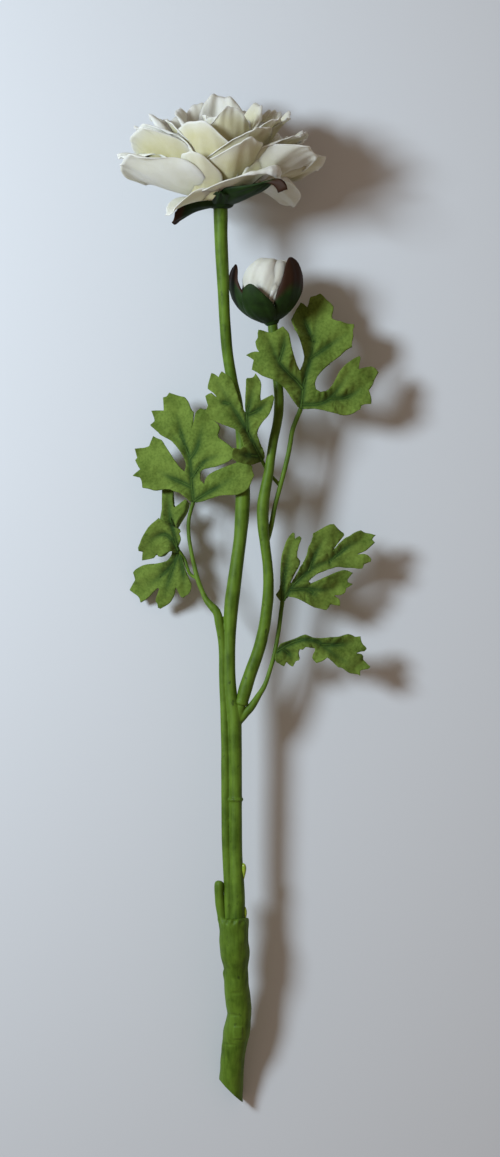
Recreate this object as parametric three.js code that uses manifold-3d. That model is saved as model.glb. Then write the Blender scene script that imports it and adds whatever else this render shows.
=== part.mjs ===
// A ranunculus spray: one open double bloom and one bud on a forked stem, with three
// stalks of cut leaves. It lies on its back on a table, bloom toward +Y, camera side +Z.
// The silhouettes are traced from above in outline units [u, v], u to the right and v
// down the stem, and every traced point carries its height above the table.
import * as THREE from 'three';
import { mergeVertices } from 'three/addons/utils/BufferGeometryUtils.js';
import Module from 'manifold-3d';

// Driving dimensions, in millimetres unless noted
const OUTLINE_UNIT = 0.45;
const OUTLINE_CENTRE = { u: 250, v: 578.5 };
const EYE_HEIGHT = 1200;
const TRUE_SIZE_LEVEL = 30;
const JOINT_GAP = 0.3;
const LEAF_THICKNESS = 0.8;
const LEAF_MESH_SPACING = 12;
const LEAF_FOLD_WIDTH = 5;
const LEAF_RIPPLE = 0.4;
const PETAL_THICKNESS = 0.7;
const SEPAL_THICKNESS = 0.9;
const BLOOM_SEAT = { u: 220.5, v: 201, z: 38.6 };
const BLOOM_NOD = 6;
const BUD_SEAT = { u: 271.5, v: 321, z: 28.5 };
const BUD_NOD = 5;
const BUD_LEAN = -12;
const TABLE_CUSHION = 4;
const CUT_END = { from: [217, 1073.5], to: [241.5, 1103.5] };

const wasm = await Module();
wasm.setup();

// Stations of the round stems: [u, v, height, radius]
const FLOWER_STRAND = [
  [220.4, 209.4, 38.2, 3.3], [221, 235, 37.8, 3], [222.3, 265, 36.4, 2.9], [223.6, 295, 35, 2.6],
  [225.2, 325, 33, 2.5], [227.8, 355, 31, 2.5], [232, 380, 29.5, 2.5], [237.5, 405, 28, 2.5],
  [241, 435, 27, 2.4], [242.5, 465, 27, 2.9], [242.8, 490, 27, 3.3], [242.2, 512, 27, 3.3],
  [240.5, 535, 27, 3], [237.3, 560, 27, 3], [234, 585, 27, 3.2], [231, 610, 26.8, 3.2],
  [229.8, 640, 26.5, 2.7], [229.5, 670, 26.2, 2.7], [231, 695, 26, 2.9], [234, 715, 26, 3.2],
  [235, 740, 25.8, 3.1], [235.4, 770, 25.5, 3], [235.5, 797, 25.2, 3], [235.5, 798.4, 25.2, 3.5],
  [235.5, 800.4, 25.2, 3.5], [235.5, 801.8, 25.2, 3], [235.5, 830, 25, 3], [235.8, 860, 24.6, 3.1],
  [236.8, 885, 24.2, 3.5], [237.2, 910, 23.8, 3.6], [237.2, 934, 23.2, 3.6],
];
const LEAF_STRAND = [
  [216.8, 612.5, 27.4, 1.9], [219.2, 623, 27.2, 2], [222, 642, 26.8, 1.8], [223, 680, 26.2, 1.8],
  [224.4, 712, 26, 1.9], [225.4, 745, 25.8, 2], [225.6, 800, 25.2, 2], [226.6, 850, 24.8, 2.1],
  [228.6, 882, 24.2, 2.3], [229.2, 908, 23.8, 2.4], [229.4, 934, 23.2, 2.4],
];
const BUD_PEG = [[235, 732, 25.8, 2.4], [238, 716, 26, 2.4], [240.4, 706.2, 26, 2.3]];
const RIGHT_PEG = [[236, 724, 25.8, 1.9], [243, 716, 26, 2], [246.4, 712.2, 26, 1.9]];
const BUD_STEM = [
  [240.8, 704.6, 26, 2.6], [241.1, 703.6, 26, 3.2], [241.8, 701.2, 26, 3.2], [242.4, 699.6, 26.1, 2.9],
  [245, 690, 26.3, 3], [250.5, 673, 26.8, 2.9], [257, 655, 27.3, 2.8], [262.8, 634, 28, 2.7],
  [266.4, 612, 28.7, 2.6], [268.4, 590, 29.3, 2.5], [267.8, 567, 29.8, 2.3], [265.2, 545, 30, 2.3],
  [263.2, 525, 30, 2.6], [263, 507, 30, 2.7], [265.3, 490, 29.7, 2.5], [268.4, 474, 29.4, 2.3],
  [270.8, 458, 29.2, 2.1], [273.6, 440, 29, 2.1], [277, 424, 28.7, 2.1], [279, 406, 28.4, 2.2],
  [278.2, 386, 28, 2.2], [276, 363, 28, 2.2], [274.2, 343, 28.1, 2.2], [272.6, 326, 28.4, 2.2],
];
const SLEEVE = [
  [234, 918, 23.6, 6.2], [234.2, 922, 23.5, 6.6], [234, 930, 23.3, 6.5], [234, 942, 22.8, 6.6],
  [235.4, 955, 21.8, 6.5], [236.2, 969, 20.4, 5.5], [236.6, 985, 18.7, 5.7], [238, 1000, 17, 5.9],
  [239.2, 1013, 15.4, 5.6], [236.8, 1030, 13.2, 6.1], [234.6, 1045, 11.4, 5.7], [232.6, 1060, 9.6, 5.6],
  [231.4, 1075, 8, 5.5], [231, 1090, 6.6, 5.5], [231, 1108, 5.6, 5.4],
];
const SIDE_NUB = [[219.6, 881.6, 24.6, 1.2], [219.4, 885, 24.5, 2.2], [219.8, 900, 24.2, 2], [224, 930, 23.4, 2]];
const LEFT_STALK = [
  [216.3, 611.9, 27.4, 1.9], [212, 606.5, 27, 1.8], [206.5, 600, 26.6, 1.4], [202.6, 592, 26, 1.1],
  [198, 580, 25.2, 1.1], [194.2, 565, 24.5, 1], [191, 550, 23.8, 0.9], [188.8, 535, 23, 0.9],
  [188.8, 520, 22.4, 0.9], [191, 510, 21.6, 0.9], [192.9, 503.4, 21, 0.9], [193.3, 497.4, 20.9, 0.9],
];
const LEFT_SIDE_STALK = [
  [196.5, 578, 25, 0.8], [190.6, 574.5, 22.4, 0.8], [187.4, 568, 19.6, 0.8], [185, 560.5, 18.2, 0.8],
  [182.4, 555, 17.9, 0.8], [180, 551.8, 18, 0.7],
];
const RIGHT_STALK = [
  [246.9, 711.6, 26, 1.9], [251.5, 706.4, 26, 1.8], [258, 696.5, 25.6, 1.4], [264.6, 685.5, 25.2, 1.1],
  [270, 670, 24.8, 1], [274.2, 655, 24.5, 1], [277, 640, 24.2, 1], [279.4, 625, 23.8, 1],
  [281, 612, 23.4, 1], [282.2, 603, 22.6, 1], [283, 596.6, 23, 1],
];
const UPPER_STALK = [
  [264.5, 546, 29, 1.2], [269.6, 532, 28.2, 1.2], [275, 506, 27.2, 1.1], [279.2, 490, 26.6, 1.1],
  [283.2, 475, 26.2, 1.1], [287, 460, 26, 1.1], [290, 445, 26, 1.1], [292.6, 430, 26, 1.1],
  [297, 418, 26, 1.1], [300.2, 410.2, 25.2, 1.1], [302, 403.6, 25.2, 1.1],
];
const UPPER_SIDE_STALK = [
  [280.6, 486, 26.5, 0.8], [275, 480, 25.6, 0.8], [269.4, 473.4, 25.5, 0.8], [265.2, 467, 26.9, 0.8],
  [262.4, 461, 28.1, 0.8], [260.6, 456.6, 29, 0.8],
];

// Cut leaves: the outline is a closed ring of [u, v], each vein a row of [u, v, height]
const LEFT_END_LEAF = {
  outline: [
    [193.6, 502.8], [188.9, 500.6], [182.9, 495.1], [179.5, 492.5], [174.8, 491.7], [170.5, 489.6],
    [165, 489.2], [159.9, 490], [154.3, 490.8], [149.6, 488.7], [142.4, 487.8], [141.9, 480.2],
    [139.8, 477.6], [132.6, 475.9], [135.1, 473.3], [140.2, 469.5], [138.1, 466.5], [135.3, 460.5],
    [137.5, 458], [136.4, 454.6], [134.8, 448.8], [140.2, 448.2], [145.4, 447.7], [149.6, 446],
    [150.5, 442.6], [153.5, 436.3], [156.5, 438.3], [161.6, 440], [164.1, 443.5], [167.5, 449.4],
    [171.8, 456.3], [176.1, 463.1], [180.3, 468.2], [185, 471.6], [186.5, 465.6], [185.5, 460.5],
    [182, 453.7], [177.8, 447.7], [173.5, 442.6], [169.2, 439.2], [164.1, 437], [159.9, 434.5],
    [157.3, 431.5], [150.4, 425.2], [154.7, 421.6], [154.7, 417.9], [151.4, 411], [157.3, 410.4],
    [164.1, 410.6], [163.7, 406.8], [163.1, 397.4], [166.7, 396.5], [169.4, 392.7], [172.4, 393.6],
    [179.5, 396.1], [184.6, 397], [188.9, 402.1], [190.2, 409.3], [193.1, 411.9], [193.4, 416.2],
    [191.4, 430.7], [194.6, 419.6], [195.3, 413.6], [197.4, 410.2], [200.2, 408.3], [205.9, 409.6],
    [209.5, 412], [211.5, 419], [218.7, 424.3], [220.2, 428.4], [217.6, 435], [219.5, 438.2],
    [225, 442], [231, 446.6], [234.4, 450.5], [234.6, 457], [228, 462.4], [214.5, 467.3],
    [204.5, 468.4], [200.4, 472], [200, 480], [204.6, 484.2], [205.4, 478.6], [210.4, 473.4],
    [217, 470.4], [230, 465.2], [240, 461.4], [248, 461.6], [252.2, 466.4], [252, 471],
    [254.4, 475.6], [252, 480], [250, 487], [245, 492], [236.6, 495.4], [230.7, 495.1],
    [222.1, 495.3], [215.3, 496.8], [206.8, 499.8], [200, 501.8],
  ],
  veins: [
    [[193.4, 501, 22], [191, 480, 21], [188, 452, 19.5], [176, 438, 17], [162, 428, 14.5], [153, 418, 12.5]],
    [[188, 452, 19.5], [181, 425, 18], [174, 398, 15]],
    [[190.5, 470, 21], [199, 440, 23], [204, 415, 23]],
    [[191, 476, 21], [210, 456, 25], [232, 453, 29.5]],
    [[191.5, 488, 21.5], [178, 480, 19.5], [160, 471, 17.5], [140, 458, 13]],
    [[178, 480, 19.5], [160, 483, 17.5], [145, 484, 15.5]],
    [[193, 499, 22], [213, 489, 25.5], [228, 479, 30.6], [242, 470, 32.4], [252, 472, 31.8]],
    [[213, 489, 25.5], [234, 485, 31.5], [248, 483, 32]],
  ],
  fold: 1.3,
};
const LEFT_SIDE_LEAF = {
  outline: [
    [172, 551.5], [172, 555], [169.8, 558.3], [166.4, 561.3], [160.4, 563], [153.6, 563.8],
    [145.1, 564.2], [140.8, 566.4], [134.8, 569.8], [133, 572.8], [134.8, 576.2], [135.5, 579.6],
    [133.1, 583.9], [130.1, 589.9], [133.1, 592.4], [137.4, 595.4], [140, 598], [140.8, 602.4],
    [145.1, 599.9], [149.3, 596.7], [153.6, 591.6], [158.3, 587.7], [159.6, 588.8], [157.5, 594.1],
    [155.5, 599.2], [155.7, 601.8], [157.5, 603.5], [158, 607.8], [160.4, 608.8], [164.7, 606.1],
    [169, 603.9], [172.4, 600.1], [174.5, 595], [175.1, 590.7], [176, 587.4], [177.1, 588.4],
    [179.2, 594.1], [180.9, 597.1], [183.5, 597.7], [186, 595.8], [189, 594.1], [191.2, 589.9],
    [191.6, 584.7], [189.5, 579.6], [186.9, 574.5], [184.8, 569.4], [183.2, 562], [181.6, 556],
    [178.8, 550.4], [176.6, 549.4],
  ],
  veins: [
    [[178, 551, 20.5], [172, 564, 17], [158, 577, 11], [143, 589, 4.5], [132, 590, 1.4]],
    [[158, 577, 11], [150, 569, 10], [138, 573, 6]],
    [[175, 560, 18.5], [168, 580, 13.5], [162, 602, 8]],
    [[178, 553, 20.6], [182, 575, 19.4], [184, 593, 15.4]],
  ],
  fold: 1,
};
const LEFT_SIDE_FRONT_LOBE = {
  outline: [
    [159.2, 518.2], [155.3, 520.7], [150.2, 525], [146.4, 530.1], [142.5, 536.9], [140, 542.9],
    [138.2, 549.4], [143.4, 550.2], [143.4, 552.3], [142.1, 555.7], [142, 560.6], [145.1, 560],
    [150.2, 558.9], [155.3, 557], [157.5, 554.9], [158.5, 552.6], [160, 555.5], [162.6, 556.8],
    [165.1, 554.9], [168.1, 551.9], [171.4, 550.4], [174, 552.6], [178, 552.4], [179.4, 549],
    [177.9, 545.5], [180.5, 539.9], [179.9, 536.1], [179.2, 533.5], [180.9, 530.3], [177.5, 528.2],
    [170.7, 525], [164.7, 521.3],
  ],
  veins: [
    [[177.6, 551, 20.6], [173, 541, 21.5], [164, 534, 22.5], [152, 538, 20], [143, 551, 14.5]],
    [[164, 534, 22.5], [160, 545, 19.5], [151, 556, 14.5]],
    [[164, 534, 22.5], [160, 524, 21.5]],
  ],
  fold: 0.9,
};
const LEFT_SIDE_BACK_LOBE = {
  outline: [
    [162.6, 484], [173.6, 484], [174.4, 491], [173.7, 502.8], [175.6, 508.4], [180.1, 504.9],
    [183.5, 501.9], [186.9, 500], [188.8, 502.4], [188.2, 507], [186.9, 511.3], [184.3, 516],
    [180.9, 520.7], [177.3, 527], [178.2, 536], [178.6, 548], [178, 552], [174.4, 552], [170.5, 538],
    [164, 528], [160.9, 517.7], [162.1, 505.3], [162.6, 495.1],
  ],
  veins: [
    [[177.4, 552, 20.6], [176, 545, 19.6], [172.5, 530, 16], [168, 510, 13], [168, 486, 10]],
    [[172.5, 530, 16], [178, 515, 15], [186, 503, 15]],
  ],
  fold: 0.7,
};
const RIGHT_END_LEAF = {
  outline: [
    [282.8, 602.4], [279.9, 600.4], [277.8, 597.9], [275.8, 594.7], [278.5, 591.4], [280.3, 588.6],
    [280.3, 579.2], [280.5, 568.4], [281, 561.2], [282.4, 552.6], [284.6, 546.1], [286.4, 540.3],
    [289.3, 536], [293, 532.2], [294.7, 533.5], [294.9, 538.9], [297.2, 537.1], [299.6, 536],
    [301.6, 538.4], [298.6, 546.1], [297.2, 551.8], [297.2, 556.9], [299.7, 560.5], [299.8, 564],
    [297.6, 568.4], [293.6, 575.4], [290.6, 582], [291.6, 583.4], [294.8, 577.2], [298.6, 570.6],
    [302.2, 564.1], [305.1, 559], [307.3, 552.6], [308.4, 546.8], [310.9, 543.2], [312.3, 538.9],
    [313.2, 533.3], [318.1, 530.6], [323.8, 527.4], [328.9, 524.3], [333.9, 523.9], [336.8, 527.4],
    [340.4, 531], [343.3, 533.1], [344, 535.3], [339.7, 540.6], [336.1, 545], [332.1, 551.1],
    [334.8, 548.2], [339.9, 542.8], [344.7, 537.8], [349.8, 536.4], [353.4, 533.1], [358.4, 531],
    [361.3, 530.4], [364.9, 533.1], [369.9, 533.3], [375.5, 535.3], [372.8, 537.4], [372.2, 539.6],
    [374.8, 542.5], [372.1, 545], [368.5, 548.2], [365.2, 551.3], [357, 554.4], [364.9, 553.6],
    [368.5, 555.4], [371.2, 559], [370.6, 561.6], [367.8, 562.6], [364.2, 564.4], [362.4, 568.4],
    [358.4, 569.3], [352.6, 567.7], [346.9, 568.4], [341.1, 567.1], [336.8, 567], [329.6, 568.8],
    [325.3, 570.9], [318.1, 573.1], [314.5, 575.6], [310.9, 578.5], [308.7, 581.4], [311.2, 583.4],
    [315.2, 581.7], [322.4, 578.5], [329.6, 575.6], [334.6, 573.1], [340.4, 570.9], [344.7, 569.9],
    [348.3, 570.9], [352.8, 573.1], [350.5, 575.6], [347.6, 579.2], [347.6, 582.1], [352.8, 584],
    [349.8, 586.4], [346.2, 588.2], [345.1, 592.9], [342.6, 594.3], [339.7, 595.4], [334.4, 595.2],
    [336.1, 597.2], [339, 598.6], [340.3, 601.5], [339.9, 605.8], [336.8, 605.5], [330.3, 604.4],
    [328.9, 607.3], [326.7, 610], [322.4, 609.4], [314.5, 607.6], [309.4, 604.8], [304.4, 601.9],
    [299.4, 599.4], [293.6, 597.2], [288.4, 596.7], [285.9, 599],
  ],
  veins: [
    [[282.4, 601, 24], [292, 587, 24.6], [305, 575, 25.2], [318, 565, 25], [335, 561, 23.6], [352, 556, 22]],
    [[335, 561, 23.6], [350, 545, 22.4], [366, 538, 21]],
    [[313, 569, 25.2], [317, 553, 25.6], [325, 535, 24.6]],
    [[282.4, 601, 24], [284, 580, 26.4], [288, 556, 28.4], [293, 540, 28.2]],
    [[292, 587, 24.6], [310, 588.5, 23.6], [328, 591, 22.2], [346, 585, 21]],
    [[310, 588.5, 23.6], [324, 598, 21.5], [334, 601, 20.4]],
  ],
  fold: 1.2,
};
const RIGHT_SIDE_LEAF = {
  outline: [
    [279.4, 645.4], [281.1, 643.3], [286, 641.9], [290.8, 640.1], [296.4, 638.3], [299.8, 636.6],
    [305, 634.5], [308.8, 635.9], [312.3, 638], [321.3, 638.7], [325.5, 637.6], [330.3, 636.9],
    [338, 637.1], [342.1, 635.9], [345.6, 634.5], [349.1, 633.8], [352.5, 635.2], [354.9, 636.8],
    [360.4, 636.2], [360.8, 640.4], [362.2, 643.9], [365.7, 646.6], [366.5, 648.7], [364.3, 651.2],
    [360.2, 651.6], [356, 653], [361.7, 654.1], [363.1, 655.7], [362.9, 659.1], [366.4, 662.9],
    [370.1, 666.1], [369.9, 668], [367.1, 669.2], [362.2, 669.7], [360.2, 670.9], [360, 675.4],
    [357.4, 674], [350.4, 673.3], [347.7, 672], [344.2, 669.5], [341.4, 667.4], [338.3, 667.4],
    [334.5, 663.6], [331, 660.2], [327.6, 657.2], [323.4, 660.5], [319.9, 662.2], [316.5, 663.1],
    [313.7, 660.5], [312, 657.7], [313, 654.3], [315.1, 650.8], [314.7, 648], [310.2, 647.9],
    [306.1, 646.8], [302.6, 649.8], [299.8, 649.4], [298.6, 652], [298.6, 655], [299.7, 658.4],
    [298.8, 660.2], [295.7, 660.9], [294.6, 663.3], [292.9, 666.6], [290.1, 665.7], [286.3, 662],
    [283.9, 666.3], [281.8, 665.7], [279.7, 664], [276.9, 662.6], [275.4, 660.2], [275, 656.4],
    [276.7, 650.8],
  ],
  veins: [
    [[279, 651, 25.8], [290, 644, 25.8], [304, 639.5, 26.2], [318, 642, 25.4], [328, 651, 24.6], [342, 660, 23], [358, 668, 21.5]],
    [[330, 652.5, 24.4], [346, 648, 23.4], [358, 643, 22.5]],
    [[279, 651, 25.8], [282, 660, 25.2]],
    [[284, 648, 26.5], [291, 656, 24.6], [292, 663, 23]],
    [[319, 643, 25.3], [320, 652, 24], [317, 660, 22.6]],
  ],
  fold: 1,
};
const UPPER_END_LEAF = {
  outline: [
    [300.2, 409], [297, 406.2], [293.4, 401.2], [288.8, 394], [284.3, 387.5], [279.7, 383.9],
    [275.1, 380.7], [269.7, 378.4], [263.3, 376.6], [258.7, 373.4], [251.8, 369.4], [252.8, 363.8],
    [253.9, 360.1], [249.6, 357], [246.4, 355.1], [250.5, 352.4], [255, 351.3], [259.4, 351.9],
    [256.9, 348.7], [255.4, 342], [257.8, 337.8], [257.6, 333.7], [258.5, 329.8], [262.4, 330.2],
    [266, 331.7], [270, 333], [275, 332.2], [278, 329.2], [283.2, 326.4], [285.2, 329.2],
    [287.9, 331.4], [289.7, 335.5], [290.7, 342.8], [292, 350.1], [294.3, 358.3], [296.1, 364.7],
    [299.8, 371], [303.4, 363.8], [304.4, 356.5], [303, 348.3], [300.7, 340.1], [297.1, 331.8],
    [293.4, 324.5], [291.6, 319.5], [294.4, 313], [298, 307], [300.7, 302.6], [304.4, 304.4],
    [307.1, 307.4], [309, 303.5], [309.4, 299.9], [310.8, 296.7], [316.2, 295.8], [320, 293.6],
    [322.6, 294.8], [326.3, 299.9], [330.8, 303.1], [333.3, 306.3], [333.6, 309.9], [331.8, 314.5],
    [332.3, 319], [336.3, 320.9], [340, 320.9], [343.6, 322.7], [348.2, 324.1], [354.1, 324.3],
    [354.3, 327], [352.6, 330], [353.4, 336.4], [352, 341.9], [352, 347.1], [347.3, 349.2],
    [343.6, 351.9], [340, 356], [332.7, 361.1], [327.2, 365.6], [322.6, 370.2], [318.1, 375.7],
    [315.3, 380.2], [314.9, 384.8], [316.2, 389.4], [320.8, 391.9], [326.3, 391.2], [329.9, 388.5],
    [333.6, 383], [336.3, 377.5], [339.1, 372], [341.8, 368.4], [347.3, 362.9], [353.7, 358.8],
    [359.4, 356], [361, 357.9], [359.6, 362.9], [358.7, 369.3], [363.7, 367.5], [371, 366.3],
    [375.8, 368.2], [378.5, 372.2], [376.5, 375.4], [373.8, 381.2], [372.9, 384.8], [368.7, 390.3],
    [370.6, 394.8], [371.7, 400.3], [371, 404], [364.6, 404.2], [361.4, 405.8], [360.5, 409.5],
    [357.3, 410.8], [351.8, 414.5], [344.5, 415.6], [339.1, 414.5], [332.7, 412.7], [324.5, 410.4],
    [316.2, 408.7], [308.9, 408.4], [304, 409.4],
  ],
  veins: [
    [[302, 406, 27], [303.4, 389, 27], [306, 373, 26], [311, 356, 24.4], [314.4, 334, 22], [317.5, 312, 19.5], [318, 298, 18.5]],
    [[314.4, 334, 22], [305, 320, 20], [300, 307, 19]],
    [[311, 356, 24.4], [330, 343, 24], [348, 330, 23]],
    [[303.4, 389, 27], [296, 380, 29.5], [288.8, 374, 31.6], [280, 366, 32.8], [274, 352, 33.4], [268, 336, 33]],
    [[280, 366, 32.8], [266, 362, 33], [252, 356, 31.5]],
    [[279, 358, 33.2], [284, 343, 33.2], [283, 330, 32.8]],
    [[302.6, 404, 27], [318, 403, 27.2], [330, 398, 27.2], [340, 385, 27], [352, 368, 26], [358, 360, 25]],
    [[330, 398, 27.2], [348, 396, 26], [366, 384, 25], [374, 373, 24]],
    [[340, 398, 26.6], [352, 407, 25]],
  ],
  fold: 1.3,
};
const UPPER_SIDE_LEAF = {
  outline: [
    [262.6, 460.6], [259.6, 462], [255.6, 463.2], [251.8, 465.4], [246, 464.6], [238, 462.6],
    [232.6, 459.6], [231.4, 453], [233.6, 448.4], [239.6, 449.8], [243.6, 446.6], [242.2, 440],
    [239.6, 434], [236.2, 430.4], [231.3, 428.1], [225, 426.3], [219.4, 424.4], [213.8, 421.2],
    [210.3, 419.6], [209.9, 416.2], [207.5, 414.8], [205.5, 412], [207.1, 409.2], [208.3, 406.4],
    [206.6, 401.5], [205.5, 397.1], [208.2, 394.8], [211.3, 393.9], [213.8, 395.9], [217.1, 398.5],
    [214.7, 394.6], [211, 391.9], [208.1, 389.8], [208.1, 386.1], [209.4, 381.9], [210.3, 378.4],
    [211.5, 374.1], [214.5, 375], [218.9, 378.2], [220.1, 374.9], [222.3, 372.4], [225, 374.5],
    [229.2, 376.6], [232, 380.5], [234.1, 384], [236.9, 393.1], [239, 400.1], [241.6, 407.4],
    [245.6, 413.6], [245.2, 405], [245.4, 398], [245.9, 389.6], [245.9, 380.3], [247.4, 378.9],
    [251.6, 379.1], [254, 377.7], [255.5, 374.6], [257.9, 377.7], [260.5, 381.9], [261.2, 385.4],
    [260.7, 391], [260.3, 398], [260.9, 401.3], [264.2, 399.4], [269.1, 396.9], [272.3, 395.6],
    [274, 398], [273.6, 401.5], [271.9, 409.2], [269.1, 415.5], [264.2, 421.1], [260, 426],
    [257.9, 430.9], [257.2, 435.1], [258.9, 440.7], [261.4, 447], [264.4, 453.3], [264.8, 456.8],
  ],
  veins: [
    [[262, 459, 30], [256, 449, 33], [248, 434, 35], [240, 420, 35.6], [231, 406, 35.6], [222, 390, 35], [214, 380, 34]],
    [[231, 406, 35.6], [218, 404, 34.4], [209, 400, 33.4]],
    [[248, 434, 35], [247.4, 418, 34.8], [251, 402, 34], [254, 382, 33]],
    [[249.6, 416, 34.6], [260, 411, 34], [270, 401, 33]],
    [[260, 458.4, 31.6], [248, 457, 35.6], [236, 455, 36.4]],
  ],
  fold: 1,
};

// Bloom petals, camera side first: around the axis from the camera toward +X, rise and
// tip are the slope at root and end, all in degrees; root and base are the distance out
// and up at which a petal starts, slant makes one side longer than the other by that
// share, twist winds the petal round the axis, and the rest is in millimetres too
const BLOOM_PETALS = [
  { around: -36, rise: 64, tip: 88, length: 37, width: 32, cup: 14, ruffle: 0.6, root: 4 },
  { around: -26, rise: 46, tip: 62, length: 21, width: 17, cup: 12, ruffle: 0.4, root: 8 },
  { around: 16, rise: 66, tip: 84, length: 42, width: 26, cup: 14, ruffle: 0.6, root: 4 },
  { around: 22, rise: 38, tip: 60, length: 31, width: 32, cup: 18, ruffle: 0.5, root: 5, slant: 0.28 },
  { around: 42, rise: 50, tip: 62, length: 40, width: 34, cup: 20, ruffle: 0.8, root: 4, slant: 0.14 },
  { around: 70, rise: 26, tip: 42, length: 44, width: 46, cup: 34, ruffle: 1.2, root: 3, slant: 0.16 },
  { around: 92, rise: 10, tip: 24, length: 44, width: 38, cup: 40, ruffle: 1.6, root: 3 },
  { around: 34, rise: 24, tip: 14, length: 31, width: 40, cup: 45, ruffle: 1, root: 4, slant: 0.3 },
  { around: 114, rise: 14, tip: -20, length: 38, width: 26, cup: 40, ruffle: 0.6, root: 3 },
  { around: -54, rise: 4, tip: -40, length: 28, width: 22, cup: 40, ruffle: 0.8, root: 4 },
  { around: -70, rise: 9, tip: 24, length: 45, width: 44, cup: 42, ruffle: 1.4, root: 3, slant: -0.08 },
  { around: -98, rise: 16, tip: 30, length: 45, width: 36, cup: 42, ruffle: 1.4, root: 3 },
  { around: -60, rise: 36, tip: 50, length: 39, width: 34, cup: 18, ruffle: 0.8, root: 4, slant: -0.3 },
  { around: -86, rise: 42, tip: 54, length: 43, width: 34, cup: 20, ruffle: 0.8, root: 4, slant: -0.12 },
  { around: -128, rise: 58, tip: 66, length: 45, width: 32, cup: 24, ruffle: 1, root: 4 },
  { around: 172, rise: 66, tip: 84, length: 49, width: 34, cup: 22, ruffle: 1.1, root: 4 },
  { around: 132, rise: 54, tip: 60, length: 50, width: 32, cup: 26, ruffle: 1.4, root: 4 },
  { around: 98, rise: 42, tip: 46, length: 46, width: 34, cup: 30, ruffle: 1.4, root: 4 },
  { around: 153, rise: 20, tip: 20, length: 43, width: 38, cup: 42, ruffle: 1.2, root: 3 },
  { around: -172, rise: 24, tip: 22, length: 40, width: 38, cup: 42, ruffle: 1.2, root: 3 },
  { around: -134, rise: 18, tip: 24, length: 42, width: 38, cup: 42, ruffle: 1.2, root: 3 },
];
const HEART_RING = { count: 5, first: 60, rise: 78, tip: 94, length: 38, width: 22, cup: 11, ruffle: 0.4, root: 6 };
const BLOOM_CORE = [[0, -1.5], [5, -1], [9, 2], [11, 8], [10, 16], [7.5, 24], [3, 29], [0, 30]];
const BLOOM_CALYX_CUP = [[0, -3.1], [3.8, -3.1], [5.2, -2.8], [5.6, -2.3], [0, -2.3]];
const BLOOM_SEPALS = [
  { around: 46, rise: 16, tip: 20, length: 31, width: 15, cup: 12, ruffle: 0.6, root: 1, base: -2.6 },
  { around: -72, rise: -6, tip: -36, length: 23, width: 10, cup: 9, ruffle: 0.4, root: 1, base: -2.6 },
  { around: -12, rise: 10, tip: 34, length: 14, width: 12, cup: 9, ruffle: 0.3, root: 1, base: -2.6 },
  { around: 134, rise: 8, tip: 6, length: 24, width: 12, cup: 12, ruffle: 0.6, root: 1, base: -2.6 },
  { around: -140, rise: 2, tip: 10, length: 24, width: 12, cup: 12, ruffle: 0.6, root: 1, base: -2.6 },
];
const BUD_CORE = [[0, 0.6], [4, 1.4], [7.8, 5.6], [9.2, 12], [8.2, 19], [4.8, 24.4], [0, 26.2]];
const BUD_PETAL_RING = {
  count: 6, first: 10, rise: 50, tip: 122, length: 30, width: 18, cup: 10.5, ruffle: 0.2, root: 3, base: 1.6, twist: 34,
};
const BUD_CALYX_CUP = [[0, -1.9], [2.6, -1.7], [3.4, -0.6], [4.2, 0.1], [0, 0.1]];
const BUD_SEPALS = [
  { around: -22, rise: 16, tip: 92, length: 23, width: 13.5, cup: 11, ruffle: 0.2, root: 1, base: -0.6 },
  { around: 52, rise: 16, tip: 104, length: 35, width: 18, cup: 12, ruffle: 0.3, root: 1, base: -0.6 },
  { around: -84, rise: 14, tip: 128, length: 35, width: 12.5, cup: 10, ruffle: 0.3, root: 1, base: -0.6 },
  { around: -152, rise: 20, tip: 96, length: 28, width: 13, cup: 12, ruffle: 0.3, root: 1, base: -0.6 },
  { around: 130, rise: 20, tip: 96, length: 28, width: 13, cup: 12, ruffle: 0.3, root: 1, base: -0.6 },
];
const PETAL_WIDENING = { foot: 0.12, end: 0.76, blunt: 0.3 };
const SEPAL_WIDENING = { foot: 0.2, end: 0.93, blunt: 0.12 };

// A traced point seen from the eye, set at its height
function place(u, v, z) {
  const size = OUTLINE_UNIT * (1 - (z - TRUE_SIZE_LEVEL) / EYE_HEIGHT);
  return new THREE.Vector3((u - OUTLINE_CENTRE.u) * size, (OUTLINE_CENTRE.v - v) * size, z);
}

function geometryOf(points, triangles) {
  const geometry = new THREE.BufferGeometry();
  geometry.setFromPoints(points);
  geometry.setIndex(triangles.flat());
  return geometry;
}

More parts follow.
